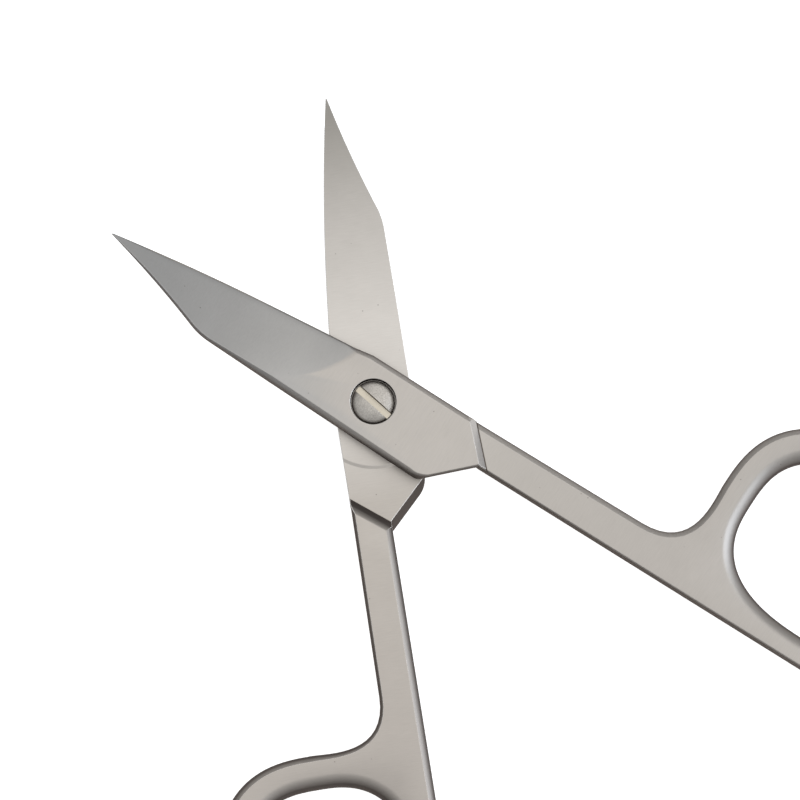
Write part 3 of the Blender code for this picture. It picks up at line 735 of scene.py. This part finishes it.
def pad_relief(name):
    """The shallow cut that leaves the riding pad proud of the inner face, between pivot and shank."""
    wide = JOINT_SPINE_SIDE + CUT_OVERRUN
    far = INNER_STEP_REACH + SIDE_PROUD
    plan = [(0, -wide), (far, -wide), (far, 0), (far - wide * INNER_STEP_LEAN, wide), (0, wide)]
    slab = prism(name, [[(x, y, z) for x, y in plan] for z in (-SHANK_THICKNESS, PAD_HEIGHT)])
    rise, slope = 2 * PAD_HEIGHT, 2 * PAD_SLOPE_WIDTH
    core = upright_cone(name + "_core", PAD_RADIUS - slope, PAD_RADIUS + slope, -rise, rise)
    boolean(slab, core, "DIFFERENCE")
    return slab


def mark_tone_and_shade_places(half):
    """Store what the tones and the painted shade follow, for each point of a half.

    That is its share in the ground face, its reach from the tip, where the pivot's is 1, and how
    far it lies past the outer step.
    """
    grounds, reaches, pasts = [], [], []
    for vertex in half.data.vertices:
        x, y, z = vertex.co
        across = min(1, max(0, (y + JOINT_SPINE_SIDE) / (JOINT_SPINE_SIDE + JOINT_HALF_WIDTH)))
        line = GRIND_BOW * (1 - (2 * across - 1) ** 2) - mix(GRIND_AT_SPINE, GRIND_AT_EDGE, across)
        grounds.append(smooth_share((line - x) / GRIND_LINE_WIDTH) if z > PAD_HEIGHT * 2 else 0.0)
        reaches.append((x + BLADE_LENGTH) / BLADE_LENGTH)
        pasts.append((x + y - OUTER_STEP_REACH) / math.sqrt(2))
    for name, values in (("ground", grounds), ("reach", reaches), ("past_step", pasts)):
        attribute = half.data.attributes.new(name, "FLOAT", "POINT")
        attribute.data.foreach_set("value", values)


def keep_pad_slope(half):
    """Keep the shallow slope round the riding pad out of the shading of the flat faces beside it."""
    mesh = half.data
    nearest, farthest = PAD_RADIUS - PAD_HEIGHT, PAD_RADIUS + PAD_SLOPE_WIDTH + PAD_HEIGHT

    def at_slope(point):
        return abs(point.z) < 2 * PAD_HEIGHT and nearest < math.hypot(point.x, point.y) < farthest

    for edge in mesh.edges:
        if all(at_slope(mesh.vertices[i].co) for i in edge.vertices):
            edge.use_edge_sharp = True


def place_mesh(piece, matrix):
    """Put the place in the mesh, so that the object stays at the origin."""
    piece.data.transform(matrix)
    piece.data.update()


def finish_surface(piece, material):
    mesh = piece.data
    mesh.materials.clear()
    mesh.materials.append(material)
    mesh.polygons.foreach_set("material_index", [0] * len(mesh.polygons))
    mesh.shade_smooth()
    mesh.set_sharp_from_angle(angle=math.radians(CREASE_DEG))


def front_place():
    lift = Matrix.Translation((PIVOT.x, PIVOT.y, MIDDLE_Z + RIDE_GAP / 2))
    return lift @ Matrix.Rotation(math.radians(OPENING_DEG / 2 - 90), 4, "Z")


def rear_place():
    lift = Matrix.Translation((PIVOT.x, PIVOT.y, MIDDLE_Z - RIDE_GAP / 2))
    turn = Matrix.Rotation(math.radians(-OPENING_DEG / 2 - 90), 4, "Z")
    return lift @ turn @ Matrix.Rotation(math.pi, 4, "X")


def forged_half(name, flare, handle_set):
    """One half in its own plane, before its screw holes."""
    half = blade_and_joint(name, flare, handle_set)
    boolean(half, outer_step(name + "_outer_step"), "DIFFERENCE")
    handle = shank_and_ring(name + "_handle", handle_set)
    boolean(handle, inner_step(name + "_inner_step"), "DIFFERENCE")
    boolean(half, handle, "UNION")
    boolean(half, pad_relief(name + "_relief"), "DIFFERENCE")
    return half


def drill(half, name, radius, low=-HALF_THICKNESS - CUT_OVERRUN):
    """Cut a round hole about the pivot, from its low end out through the outer face."""
    hole = upright_cone(name, radius, radius, low, HALF_THICKNESS + CUT_OVERRUN)
    boolean(half, hole, "DIFFERENCE")


def front_forging():
    """The upper half, with the seat for the screw head."""
    half = forged_half("upper_forging", FRONT_SHOULDER_FLARE, FRONT_HANDLE_SET_DEG)
    drill(half, "pin_hole", PIN_DIAMETER / 2 + PIN_CLEARANCE)
    drill(half, "head_hole", HEAD_DIAMETER / 2 + HEAD_CLEARANCE, HALF_THICKNESS - HEAD_SEAT_DEPTH)
    return half


def rear_forging():
    """The lower half, with the hole that holds the screw."""
    half = forged_half("lower_forging", REAR_SHOULDER_FLARE, REAR_HANDLE_SET_DEG)
    drill(half, "thread_hole", THREAD_DIAMETER / 2 + THREAD_CLEARANCE)
    return half


def slotted_screw():
    """Pivot screw: a domed head with a slot, a plain pin and a chamfered end."""
    face = MIDDLE_Z + RIDE_GAP / 2 + HALF_THICKNESS
    seat = face - HEAD_SEAT_DEPTH + SEAT_GAP
    crown = face - HEAD_BELOW_FACE
    head = HEAD_DIAMETER / 2
    pin = PIN_DIAMETER / 2
    thread = THREAD_DIAMETER / 2
    profile = [
        (0, SCREW_END_RECESS),
        (thread - SCREW_END_CHAMFER, SCREW_END_RECESS),
        (thread, SCREW_END_RECESS + SCREW_END_CHAMFER),
        (thread, MIDDLE_Z - RIDE_GAP / 2),
        (pin, MIDDLE_Z),
        (pin, seat),
        (head, seat),
    ]
    radius = (head**2 + HEAD_DOME**2) / (2 * HEAD_DOME)
    rim = crown - HEAD_DOME
    profile.append((head, rim - HEAD_EDGE_ROUND))
    for share in [HEAD_EDGE_ROUND / head] + shares(DOME_STEPS):
        across = head * (1 - share)
        profile.append((across, crown - radius + math.sqrt(radius**2 - across**2)))
    bm = bmesh.new()
    vertices = [bm.verts.new((across, 0, z)) for across, z in profile]
    edges = [bm.edges.new(pair) for pair in zip(vertices, vertices[1:])]
    bmesh.ops.spin(
        bm, geom=vertices + edges, axis=(0, 0, 1), cent=(0, 0, 0), angle=2 * math.pi,
        steps=HOLE_SIDES, use_merge=True,
    )
    bmesh.ops.remove_doubles(bm, verts=bm.verts[:], dist=AXIS_WELD)
    screw = new_object("slotted_screw", bm)
    boolean(screw, slot_cutter(crown - SLOT_DEPTH), "DIFFERENCE")
    return screw


def slot_cutter(floor):
    """A bar across the head whose two lower corners are rounded, as a worn saw leaves them."""
    half_width = SLOT_WIDTH / 2
    high = floor + SLOT_DEPTH + CUT_OVERRUN
    section = [(half_width, high), (-half_width, high)]
    corner = SLOT_CORNER_ROUND
    left = (-half_width, floor + corner), (-half_width, floor), (corner - half_width, floor)
    right = (half_width - corner, floor), (half_width, floor), (half_width, floor + corner)
    section += bend(*left, SLOT_ROUND_POINTS) + bend(*right, SLOT_ROUND_POINTS)
    reach = HEAD_DIAMETER / 2 + CUT_OVERRUN
    cutter = prism("slot_cutter", [[(x, y, z) for y, z in section] for x in (-reach, reach)])
    place_mesh(cutter, Matrix.Rotation(math.radians(SLOT_TURN_DEG), 4, "Z"))
    return cutter


# Node trees


class Net:
    """A node tree in the making. An input takes a value or another node's output."""

    def __init__(self, tree):
        self.tree, self.nodes, self.links = tree, tree.nodes, tree.links

    def feed(self, socket, value):
        if isinstance(value, bpy.types.NodeSocket):
            self.links.new(value, socket)
        elif socket.type == "RGBA":
            socket.default_value = (*value, 1.0)
        else:
            socket.default_value = value

    def node(self, kind, **values):
        """A new node, given its settings in small letters and then its inputs in capitals."""
        made = self.nodes.new(kind)
        for name, value in values.items():
            if name.islower():
                setattr(made, name, value)
            else:
                self.feed(made.inputs[name.replace("_", " ")], value)
        return made

    def add(self, kind, **values):
        """A new node's outputs."""
        return self.node(kind, **values).outputs

    def combined(self, kind, operation, values):
        node = self.node(kind, operation=operation)
        for socket, value in zip(node.inputs, values):
            self.feed(socket, value)
        return node.outputs

    def maths(self, operation, *values):
        """The result of one sum of numbers."""
        return self.combined("ShaderNodeMath", operation, values)["Value"]

    def vectors(self, operation, *values):
        """The outputs of one sum of vectors."""
        return self.combined("ShaderNodeVectorMath", operation, values)

    def ranged(self, value, start, end, low=0.0, high=1.0):
        """A value's way from start to end, turned into low to high and kept between them."""
        node = self.node("ShaderNodeMapRange", Value=value)
        for name, number in zip(("From Min", "From Max", "To Min", "To Max"), (start, end, low, high)):
            node.inputs[name].default_value = number
        return node.outputs["Result"]

    def ramp(self, place, stops):
        """The colour at a place between (place, colour) stops."""
        node = self.node("ShaderNodeValToRGB", Fac=place)
        elements = node.color_ramp.elements
        while len(elements) < len(stops):
            elements.new(0.5)
        for element, (stop, colour) in zip(elements, stops):
            element.position = stop
            element.color = (*colour, 1.0)
        return node.outputs["Color"]

    def blend(self, share, first, second):
        """A share of the way from a first colour to a second."""
        node = self.node("ShaderNodeMix", data_type="RGBA", Factor=share)
        for name, colour in (("A", first), ("B", second)):
            self.feed([s for s in node.inputs if s.name == name and s.type == "RGBA"][0], colour)
        return [s for s in node.outputs if s.type == "RGBA"][0]


def group(name, kind, inputs, outputs):
    """An empty node group, seen from inside. A socket is (name, kind) or (name, kind, value)."""
    tree = bpy.data.node_groups.new(name, kind)
    for in_out, sockets in (("INPUT", inputs), ("OUTPUT", outputs)):
        for label, socket_kind, *value in sockets:
            made = tree.interface.new_socket(label, in_out=in_out, socket_type="NodeSocket" + socket_kind)
            if value:
                made.default_value = value[0]
    net = Net(tree)
    return net, net.node("NodeGroupInput").outputs, net.node("NodeGroupOutput").inputs


# Micro-teeth


def cutting_bevel_line():
    """Points along the middle of the cutting bevel, in the half's own plane."""
    height = edge_height()
    depth = EDGE_THICKNESS * EDGE_BEVEL_SHARE / 2
    found = []
    for share in [0, *shares(TEETH_LINE_STEPS)]:
        x = mix(-TEETH_START, -TEETH_END, share)
        found.append((x, height(x) - CUTTING_BEVEL_WIDTH / 2, edge_thickness(x) - depth))
    return found


def teeth_tree(material):
    """Geometry nodes that set a fine ridge across the bevel at every pitch of a line."""
    sizes = [(name, "Float") for name in ("Pitch", "Radius", "Length", "Lean")]
    net, entry, end = group(
        "teeth_along_edge", "GeometryNodeTree", [("Line", "Geometry"), *sizes], [("Teeth", "Geometry")]
    )
    curve = net.add("GeometryNodeMeshToCurve", Mesh=entry["Line"])["Curve"]
    spots = net.add("GeometryNodeResampleCurve", mode="LENGTH", Curve=curve, Length=entry["Pitch"])["Curve"]
    ridge = net.add(
        "GeometryNodeMeshCylinder", Vertices=TOOTH_SIDES, Radius=entry["Radius"], Depth=entry["Length"]
    )["Mesh"]
    along = net.add("GeometryNodeInputTangent")["Tangent"]
    across = net.vectors("CROSS_PRODUCT", along, (0, 0, 1))["Vector"]
    lean = net.add("ShaderNodeCombineXYZ", Z=entry["Lean"])["Vector"]
    way = net.vectors("ADD", across, lean)["Vector"]
    turn = net.add("FunctionNodeAlignRotationToVector", axis="Z", Vector=way)["Rotation"]
    placed = net.add("GeometryNodeInstanceOnPoints", Points=spots, Instance=ridge, Rotation=turn)["Instances"]
    whole = net.add("GeometryNodeRealizeInstances", Geometry=placed)["Geometry"]
    net.feed(end["Teeth"], net.add("GeometryNodeSetMaterial", Geometry=whole, Material=material)["Geometry"])
    return net.tree


def micro_teeth(material):
    """Fine ridges across the cutting bevel of the lower blade."""
    points = cutting_bevel_line()
    mesh = bpy.data.meshes.new("bevel_line")
    mesh.from_pydata(points, [(i, i + 1) for i in range(len(points) - 1)], [])
    line = bpy.data.objects.new("bevel_line", mesh)
    bpy.context.scene.collection.objects.link(line)
    modifier = line.modifiers.new("teeth", "NODES")
    modifier.node_group = teeth_tree(material)
    sizes = {"Pitch": TOOTH_PITCH, "Radius": TOOTH_RADIUS, "Length": TOOTH_LENGTH, "Lean": TOOTH_LEAN}
    for socket in modifier.node_group.interface.items_tree:
        if socket.name in sizes:
            modifier[socket.identifier] = sizes[socket.name]
    graph = bpy.context.evaluated_depsgraph_get()
    result = bpy.data.meshes.new_from_object(line.evaluated_get(graph), depsgraph=graph)
    bpy.data.objects.remove(line, do_unlink=True)
    teeth = bpy.data.objects.new("micro_teeth", result)
    bpy.context.scene.collection.objects.link(teeth)
    teeth.data.shade_smooth()
    return teeth


# Finishes


def brushed_grain():
    """Fine lines along X of its vector, with a soft blotch: a 0 to 1 tone and a height."""
    net, entry, end = group(
        "brushed_grain", "ShaderNodeTree",
        [
            ("Vector", "Vector"), ("Lines per Metre", "Float", LINES_PER_METRE),
            ("Stretch", "Float", LINE_STRETCH),
        ],
        [("Tone", "Float"), ("Height", "Float")],
    )
    place, scale = entry["Vector"], entry["Lines per Metre"]
    stretch = net.add("ShaderNodeCombineXYZ", X=entry["Stretch"], Y=1, Z=1)["Vector"]
    squeezed = net.vectors("DIVIDE", place, stretch)["Vector"]
    fine = net.add(
        "ShaderNodeTexNoise", Vector=squeezed, Scale=scale, Detail=LINE_DETAIL, Roughness=LINE_RAGGEDNESS
    )["Fac"]
    broad = net.add(
        "ShaderNodeTexNoise", Vector=place, Scale=BLOTCHES_PER_METRE, Detail=BLOTCH_DETAIL
    )["Fac"]
    net.feed(end["Tone"], net.add("ShaderNodeMix", Factor=BLOTCH_SHARE, A=fine, B=broad)["Result"])
    net.feed(end["Height"], fine)
    return net.tree


def edge_highlight_and_crease_shade():
    """A painted highlight along outer edges, painted shade along inner creases, and the rounded-over normal.
    """
    net, entry, end = group(
        "edge_highlight_and_crease_shade", "ShaderNodeTree",
        [("Radius", "Float", EDGE_RADIUS)],
        [("Edge", "Float"), ("Crease", "Float"), ("Normal", "Vector")],
    )
    rounded = net.add("ShaderNodeBevel", samples=NEARBY_SAMPLES, Radius=entry["Radius"])["Normal"]
    surface = net.add("ShaderNodeNewGeometry")["Normal"]
    alike = net.vectors("DOT_PRODUCT", rounded, surface)["Value"]
    openness = net.add(
        "ShaderNodeAmbientOcclusion", samples=NEARBY_SAMPLES, only_local=True, Distance=CREASE_REACH
    )["AO"]
    open_side = net.maths("POWER", openness, OPEN_SIDE_POWER)
    # Painted highlight: the edge mask, kept off concave creases
    net.feed(end["Edge"], net.maths("MULTIPLY", net.ranged(alike, *EDGE_LIKENESS), open_side))
    # Painted shade: darker where the surface is closed in, along inner creases
    net.feed(end["Crease"], net.ranged(openness, *CREASE_OPENNESS, 0.0, CREASE_SHADE))
    net.feed(end["Normal"], rounded)
    return net.tree


def dark_specks():
    """Tiny dark pits, as a mask."""
    net, entry, end = group(
        "dark_specks", "ShaderNodeTree",
        [("Vector", "Vector"), ("Per Metre", "Float", SPECKS_PER_METRE)],
        [("Speck", "Float")],
    )
    away = net.add("ShaderNodeTexVoronoi", Vector=entry["Vector"], Scale=entry["Per Metre"])["Distance"]
    net.feed(end["Speck"], net.ranged(away, *SPECK_EDGE, 0.0, SPECK_GRIME))
    return net.tree


def new_material(name):
    """A material, its node tree and its shader's inputs."""
    material = bpy.data.materials.new(name)
    material.use_nodes = True
    net = Net(material.node_tree)
    return material, net, net.nodes["Principled BSDF"].inputs


def bare_metal(name):
    """A metal that darkens where it is seen at a low angle."""
    material, net, shader = new_material(name)
    net.feed(shader["Metallic"], 1.0)
    net.feed(shader["Specular Tint"], LOW_ANGLE_TINT)
    return material, net, shader


def stored(net, name):
    """The value that mark_tone_and_shade_places stored under a name."""
    return net.add("ShaderNodeAttribute", attribute_name=name)["Fac"]


def relief(net, strength, height, normal):
    """The rounded-over normal, tilted by a height."""
    return net.add(
        "ShaderNodeBump", Strength=strength, Distance=BUMP_HEIGHT, Height=height, Normal=normal
    )["Normal"]


def satin_steel(name, outward, half_angle, groups):
    """The steel of one half: satin faces, a ground blade painted darker, and sides painted dark as painted
    shade.
    """
    grain_tree, edge_tree, speck_tree = groups
    material, net, shader = bare_metal(name)
    place = net.add("ShaderNodeTexCoord")["Object"]
    turn = (0, 0, math.radians(90 - half_angle))
    along = net.add("ShaderNodeMapping", Vector=place, Rotation=turn)["Vector"]
    grain = net.add("ShaderNodeGroup", node_tree=grain_tree, Vector=along)
    edges = net.add("ShaderNodeGroup", node_tree=edge_tree)
    speck = net.add("ShaderNodeGroup", node_tree=speck_tree, Vector=place)["Speck"]

    # Painted shade: the side mask darkens surfaces that turn sideways, and also makes them rougher
    normal = net.add("ShaderNodeNewGeometry")["Normal"]
    facing = net.maths("MULTIPLY", net.add("ShaderNodeSeparateXYZ", Vector=normal)["Z"], outward)
    side = net.maths(
        "MULTIPLY", net.ranged(facing, *OUTER_SIDE_FACING), net.ranged(facing, *INNER_SIDE_FACING)
    )

    # Most of the painted side shade is lifted off the outer step's slope, and a painted shade line marks its
    # foot
    past = stored(net, "past_step")
    outer = net.ranged(facing, *STEP_FACING)
    half_slope, half_line = OUTER_STEP_WIDTH / 2, FOOT_LINE_WIDTH / 2
    off_middle = net.maths("ABSOLUTE", net.maths("ADD", past, half_slope))
    on_slope = net.ranged(off_middle, half_slope + FOOT_LINE_SOFTNESS, half_slope)
    unshaded = net.maths("MULTIPLY", net.maths("MULTIPLY", on_slope, outer), STEP_SHADE_LIFT)
    side = net.maths("MULTIPLY", side, net.maths("SUBTRACT", 1.0, unshaded))
    # Painted shade: a dark line along the concave foot of the outer step
    from_foot = net.maths("ABSOLUTE", past)
    foot = net.ranged(from_foot, half_line, half_line - FOOT_LINE_SOFTNESS, 0.0, FOOT_LINE_SHADE)
    foot = net.maths("MULTIPLY", foot, outer)
    # Painted highlight along outer edges, stronger on edges that face inwards
    shine = net.maths("MULTIPLY", edges["Edge"], net.ranged(facing, *EDGE_SHINE_FACING, *EDGE_SHINE))

    # Tones along the half: painted shade darkens them towards the tip and the ring, and darkens the ground
    # face for its tilt
    reach = net.maths("DIVIDE", stored(net, "reach"), LONGEST_REACH)
    outer_face, ground_face = net.ramp(reach, OUTER_FACE_SHADED_TONES), net.ramp(reach, GROUND_FACE_SHADED_TONES)
    colour = net.blend(stored(net, "ground"), outer_face, ground_face)
    inner = net.ranged(facing, *INNER_FACE_FACING)
    colour = net.blend(inner, colour, net.ramp(reach, INNER_FACE_SHADED_TONES))
    contrast = net.ranged(grain["Tone"], *GRAIN_TONE, *GRAIN_CONTRAST)
    colour = net.vectors("MULTIPLY", colour, contrast)["Vector"]
    # Painted shade on the sides, in creases and at the step's foot, dark pits, and a painted highlight along
    # edges
    for share, over in (
        (side, SIDE_SHADE_COLOUR), (speck, GRIME_AND_SHADE_COLOUR), (shine, EDGE_HIGHLIGHT_COLOUR),
        (foot, GRIME_AND_SHADE_COLOUR), (edges["Crease"], GRIME_AND_SHADE_COLOUR),
    ):
        colour = net.blend(share, colour, over)
    dull = net.ranged(grain["Tone"], 0.0, 1.0, *SATIN_ROUGHNESS)
    to_side = net.maths("MULTIPLY", side, net.maths("SUBTRACT", SIDE_ROUGHNESS, dull))
    net.feed(shader["Base Color"], colour)
    net.feed(shader["Roughness"], net.maths("ADD", dull, to_side))
    net.feed(shader["Normal"], relief(net, SATIN_RELIEF, grain["Height"], edges["Normal"]))
    return material


def turned_steel(groups):
    """The screw: turned rings on the dome, a painted highlight along its edges and a slot floor painted paler
    as painted light.
    """
    grain_tree, edge_tree = groups[:2]
    material, net, shader = bare_metal("turned_steel_head")
    place = net.add("ShaderNodeTexCoord")["Object"]
    about = net.add("ShaderNodeMapping", Vector=place, Location=(-PIVOT.x, -PIVOT.y, 0))["Vector"]
    rings = net.add(
        "ShaderNodeTexWave", wave_type="RINGS", rings_direction="Z",
        Vector=about, Scale=RINGS_PER_METRE, Distortion=RING_WANDER,
    )["Fac"]
    grain = net.add("ShaderNodeGroup", node_tree=grain_tree, Vector=about, Stretch=1.0)["Tone"]
    edges = net.add("ShaderNodeGroup", node_tree=edge_tree, Radius=HEAD_EDGE_ROUND)
    height = net.add("ShaderNodeSeparateXYZ", Vector=place)["Z"]
    floor_z = HALF_THICKNESS * 2 + RIDE_GAP - HEAD_BELOW_FACE - SLOT_DEPTH
    in_slot = net.ranged(height, *(floor_z + rise for rise in SLOT_FLOOR_BLEND))
    # Painted light: the slot floor is painted paler for the light it reflects
    colour = net.blend(in_slot, net.ramp(grain, HEAD_TONES), SLOT_FLOOR_LIGHT_COLOUR)
    # Painted highlight along the head's edges
    net.feed(shader["Base Color"], net.blend(edges["Edge"], colour, HEAD_EDGE_HIGHLIGHT_COLOUR))
    net.feed(shader["Roughness"], HEAD_ROUGHNESS)
    net.feed(shader["Normal"], relief(net, HEAD_RELIEF, rings, edges["Normal"]))
    return material


# Stage


def pale_floor():
    """A plain floor that looks white to the camera and keeps a soft shadow."""
    bm = bmesh.new()
    bmesh.ops.create_grid(bm, x_segments=1, y_segments=1, size=FLOOR_HALF_SIZE)
    floor = new_object("floor", bm)
    place_mesh(floor, Matrix.Translation((0, 0, -FLOOR_CLEARANCE)))
    material, net, shader = new_material("pale_floor")
    path = net.add("ShaderNodeLightPath")
    seen = net.maths("MAXIMUM", path["Is Camera Ray"], path["Is Glossy Ray"])
    seen = net.maths("MAXIMUM", seen, path["Is Transmission Ray"])
    net.feed(shader["Base Color"], FLOOR_COLOUR)
    net.feed(shader["Roughness"], FLOOR_ROUGHNESS)
    net.feed(shader["Emission Color"], (1.0, 1.0, 1.0))
    net.feed(shader["Emission Strength"], net.maths("MULTIPLY", seen, FLOOR_GLOW))
    floor.data.materials.append(material)


def picture_way(degrees):
    """A level direction of the world by its angle."""
    angle = math.radians(degrees)
    return Vector((math.cos(angle), math.sin(angle), 0))


def soft_light():
    """A broad soft box overhead, a small one on the right, and a surround.

    The surround is dim near the floor, most of all on the left, and lighter above.
    """
    world = bpy.data.worlds.new("studio")
    world.use_nodes = True
    bpy.context.scene.world = world
    right, up = picture_way(PICTURE_UP_DEG - 90), picture_way(PICTURE_UP_DEG)
    net = Net(world.node_tree)
    way = net.add("ShaderNodeTexCoord")["Generated"]
    rightward = net.vectors("DOT_PRODUCT", way, (right + up).normalized())["Value"]
    low = net.ranged(rightward, -1.0, 1.0, SURROUND_ON_LEFT, SURROUND_ON_RIGHT)
    above = net.ranged(net.add("ShaderNodeSeparateXYZ", Vector=way)["Z"], *SURROUND_RISE)
    low = net.maths("MULTIPLY", low, net.maths("SUBTRACT", 1.0, above))
    above = net.maths("MULTIPLY", above, SURROUND_ABOVE)
    background = net.nodes["Background"].inputs
    net.feed(background["Color"], SURROUND_COLOUR)
    net.feed(background["Strength"], net.maths("ADD", low, above))
    for name, (place, size, power, colour) in (("soft_box", SOFT_BOX), ("right_box", RIGHT_BOX)):
        lamp = bpy.data.lights.new(name, "AREA")
        lamp.shape = "SQUARE"
        lamp.size = size
        lamp.energy = power
        lamp.color = colour
        made = bpy.data.objects.new(name, lamp)
        made.location = right * place[0] + up * place[1] + Vector((0, 0, place[2]))
        made.rotation_mode = "QUATERNION"
        made.rotation_quaternion = (-made.location).to_track_quat("-Z", "Y")
        bpy.context.scene.collection.objects.link(made)


def camera():
    """A long lens at the photograph's angle, with the screw head at its place in the picture."""
    up = picture_way(PICTURE_UP_DEG)
    right = picture_way(PICTURE_UP_DEG - 90)
    tilt = math.radians(CAMERA_TILT_DEG)
    back = Vector((0, 0, 1)) * math.cos(tilt) - up * math.sin(tilt)
    picture_up = up * math.cos(tilt) + Vector((0, 0, 1)) * math.sin(tilt)
    head = Vector((PIVOT.x, PIVOT.y, HALF_THICKNESS * 2 + RIDE_GAP - HEAD_BELOW_FACE))
    off_right = (PICTURE_PIXELS / 2 - SCREW_PIXEL[0]) / PIXELS_PER_METRE
    off_up = (SCREW_PIXEL[1] - PICTURE_PIXELS / 2) / PIXELS_PER_METRE
    aim = head + right * off_right + picture_up * off_up
    data = bpy.data.cameras.new("camera")
    data.sensor_width = SENSOR_MM
    data.lens = SENSOR_MM * PIXELS_PER_METRE * CAMERA_DISTANCE / PICTURE_PIXELS
    data.clip_start = CAMERA_NEAREST
    made = bpy.data.objects.new("camera", data)
    bpy.context.scene.collection.objects.link(made)
    made.location = aim + back * CAMERA_DISTANCE
    turn = Matrix((right, picture_up, back)).transposed()
    made.rotation_mode = "QUATERNION"
    made.rotation_quaternion = turn.to_quaternion()
    bpy.context.scene.camera = made


def finished_half(half, steel, place):
    """A forged half with its finish, in its place."""
    mark_tone_and_shade_places(half)
    finish_surface(half, steel)
    keep_pad_slope(half)
    place_mesh(half, place)
    return half


def main():
    groups = (brushed_grain(), edge_highlight_and_crease_shade(), dark_specks())
    upper_steel = satin_steel("satin_steel_upper", 1, OPENING_DEG / 2 - 90, groups)
    lower_steel = satin_steel("satin_steel_lower", -1, -OPENING_DEG / 2 - 90, groups)
    head_steel = turned_steel(groups)

    upper = finished_half(front_forging(), upper_steel, front_place())
    lower = finished_half(rear_forging(), lower_steel, rear_place())
    screw = slotted_screw()
    place_mesh(screw, Matrix.Translation((PIVOT.x, PIVOT.y, 0)))
    finish_surface(screw, head_steel)
    teeth = micro_teeth(lower_steel)
    place_mesh(teeth, rear_place())

    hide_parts("front_half")
    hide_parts("rear_half")
    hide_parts("pivot_screw")
    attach(upper, "front")
    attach(lower, "rear")
    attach(screw, "rear")
    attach(teeth, "rear")

    pale_floor()
    soft_light()
    camera()
    bpy.context.scene.view_settings.view_transform = "Standard"


main()
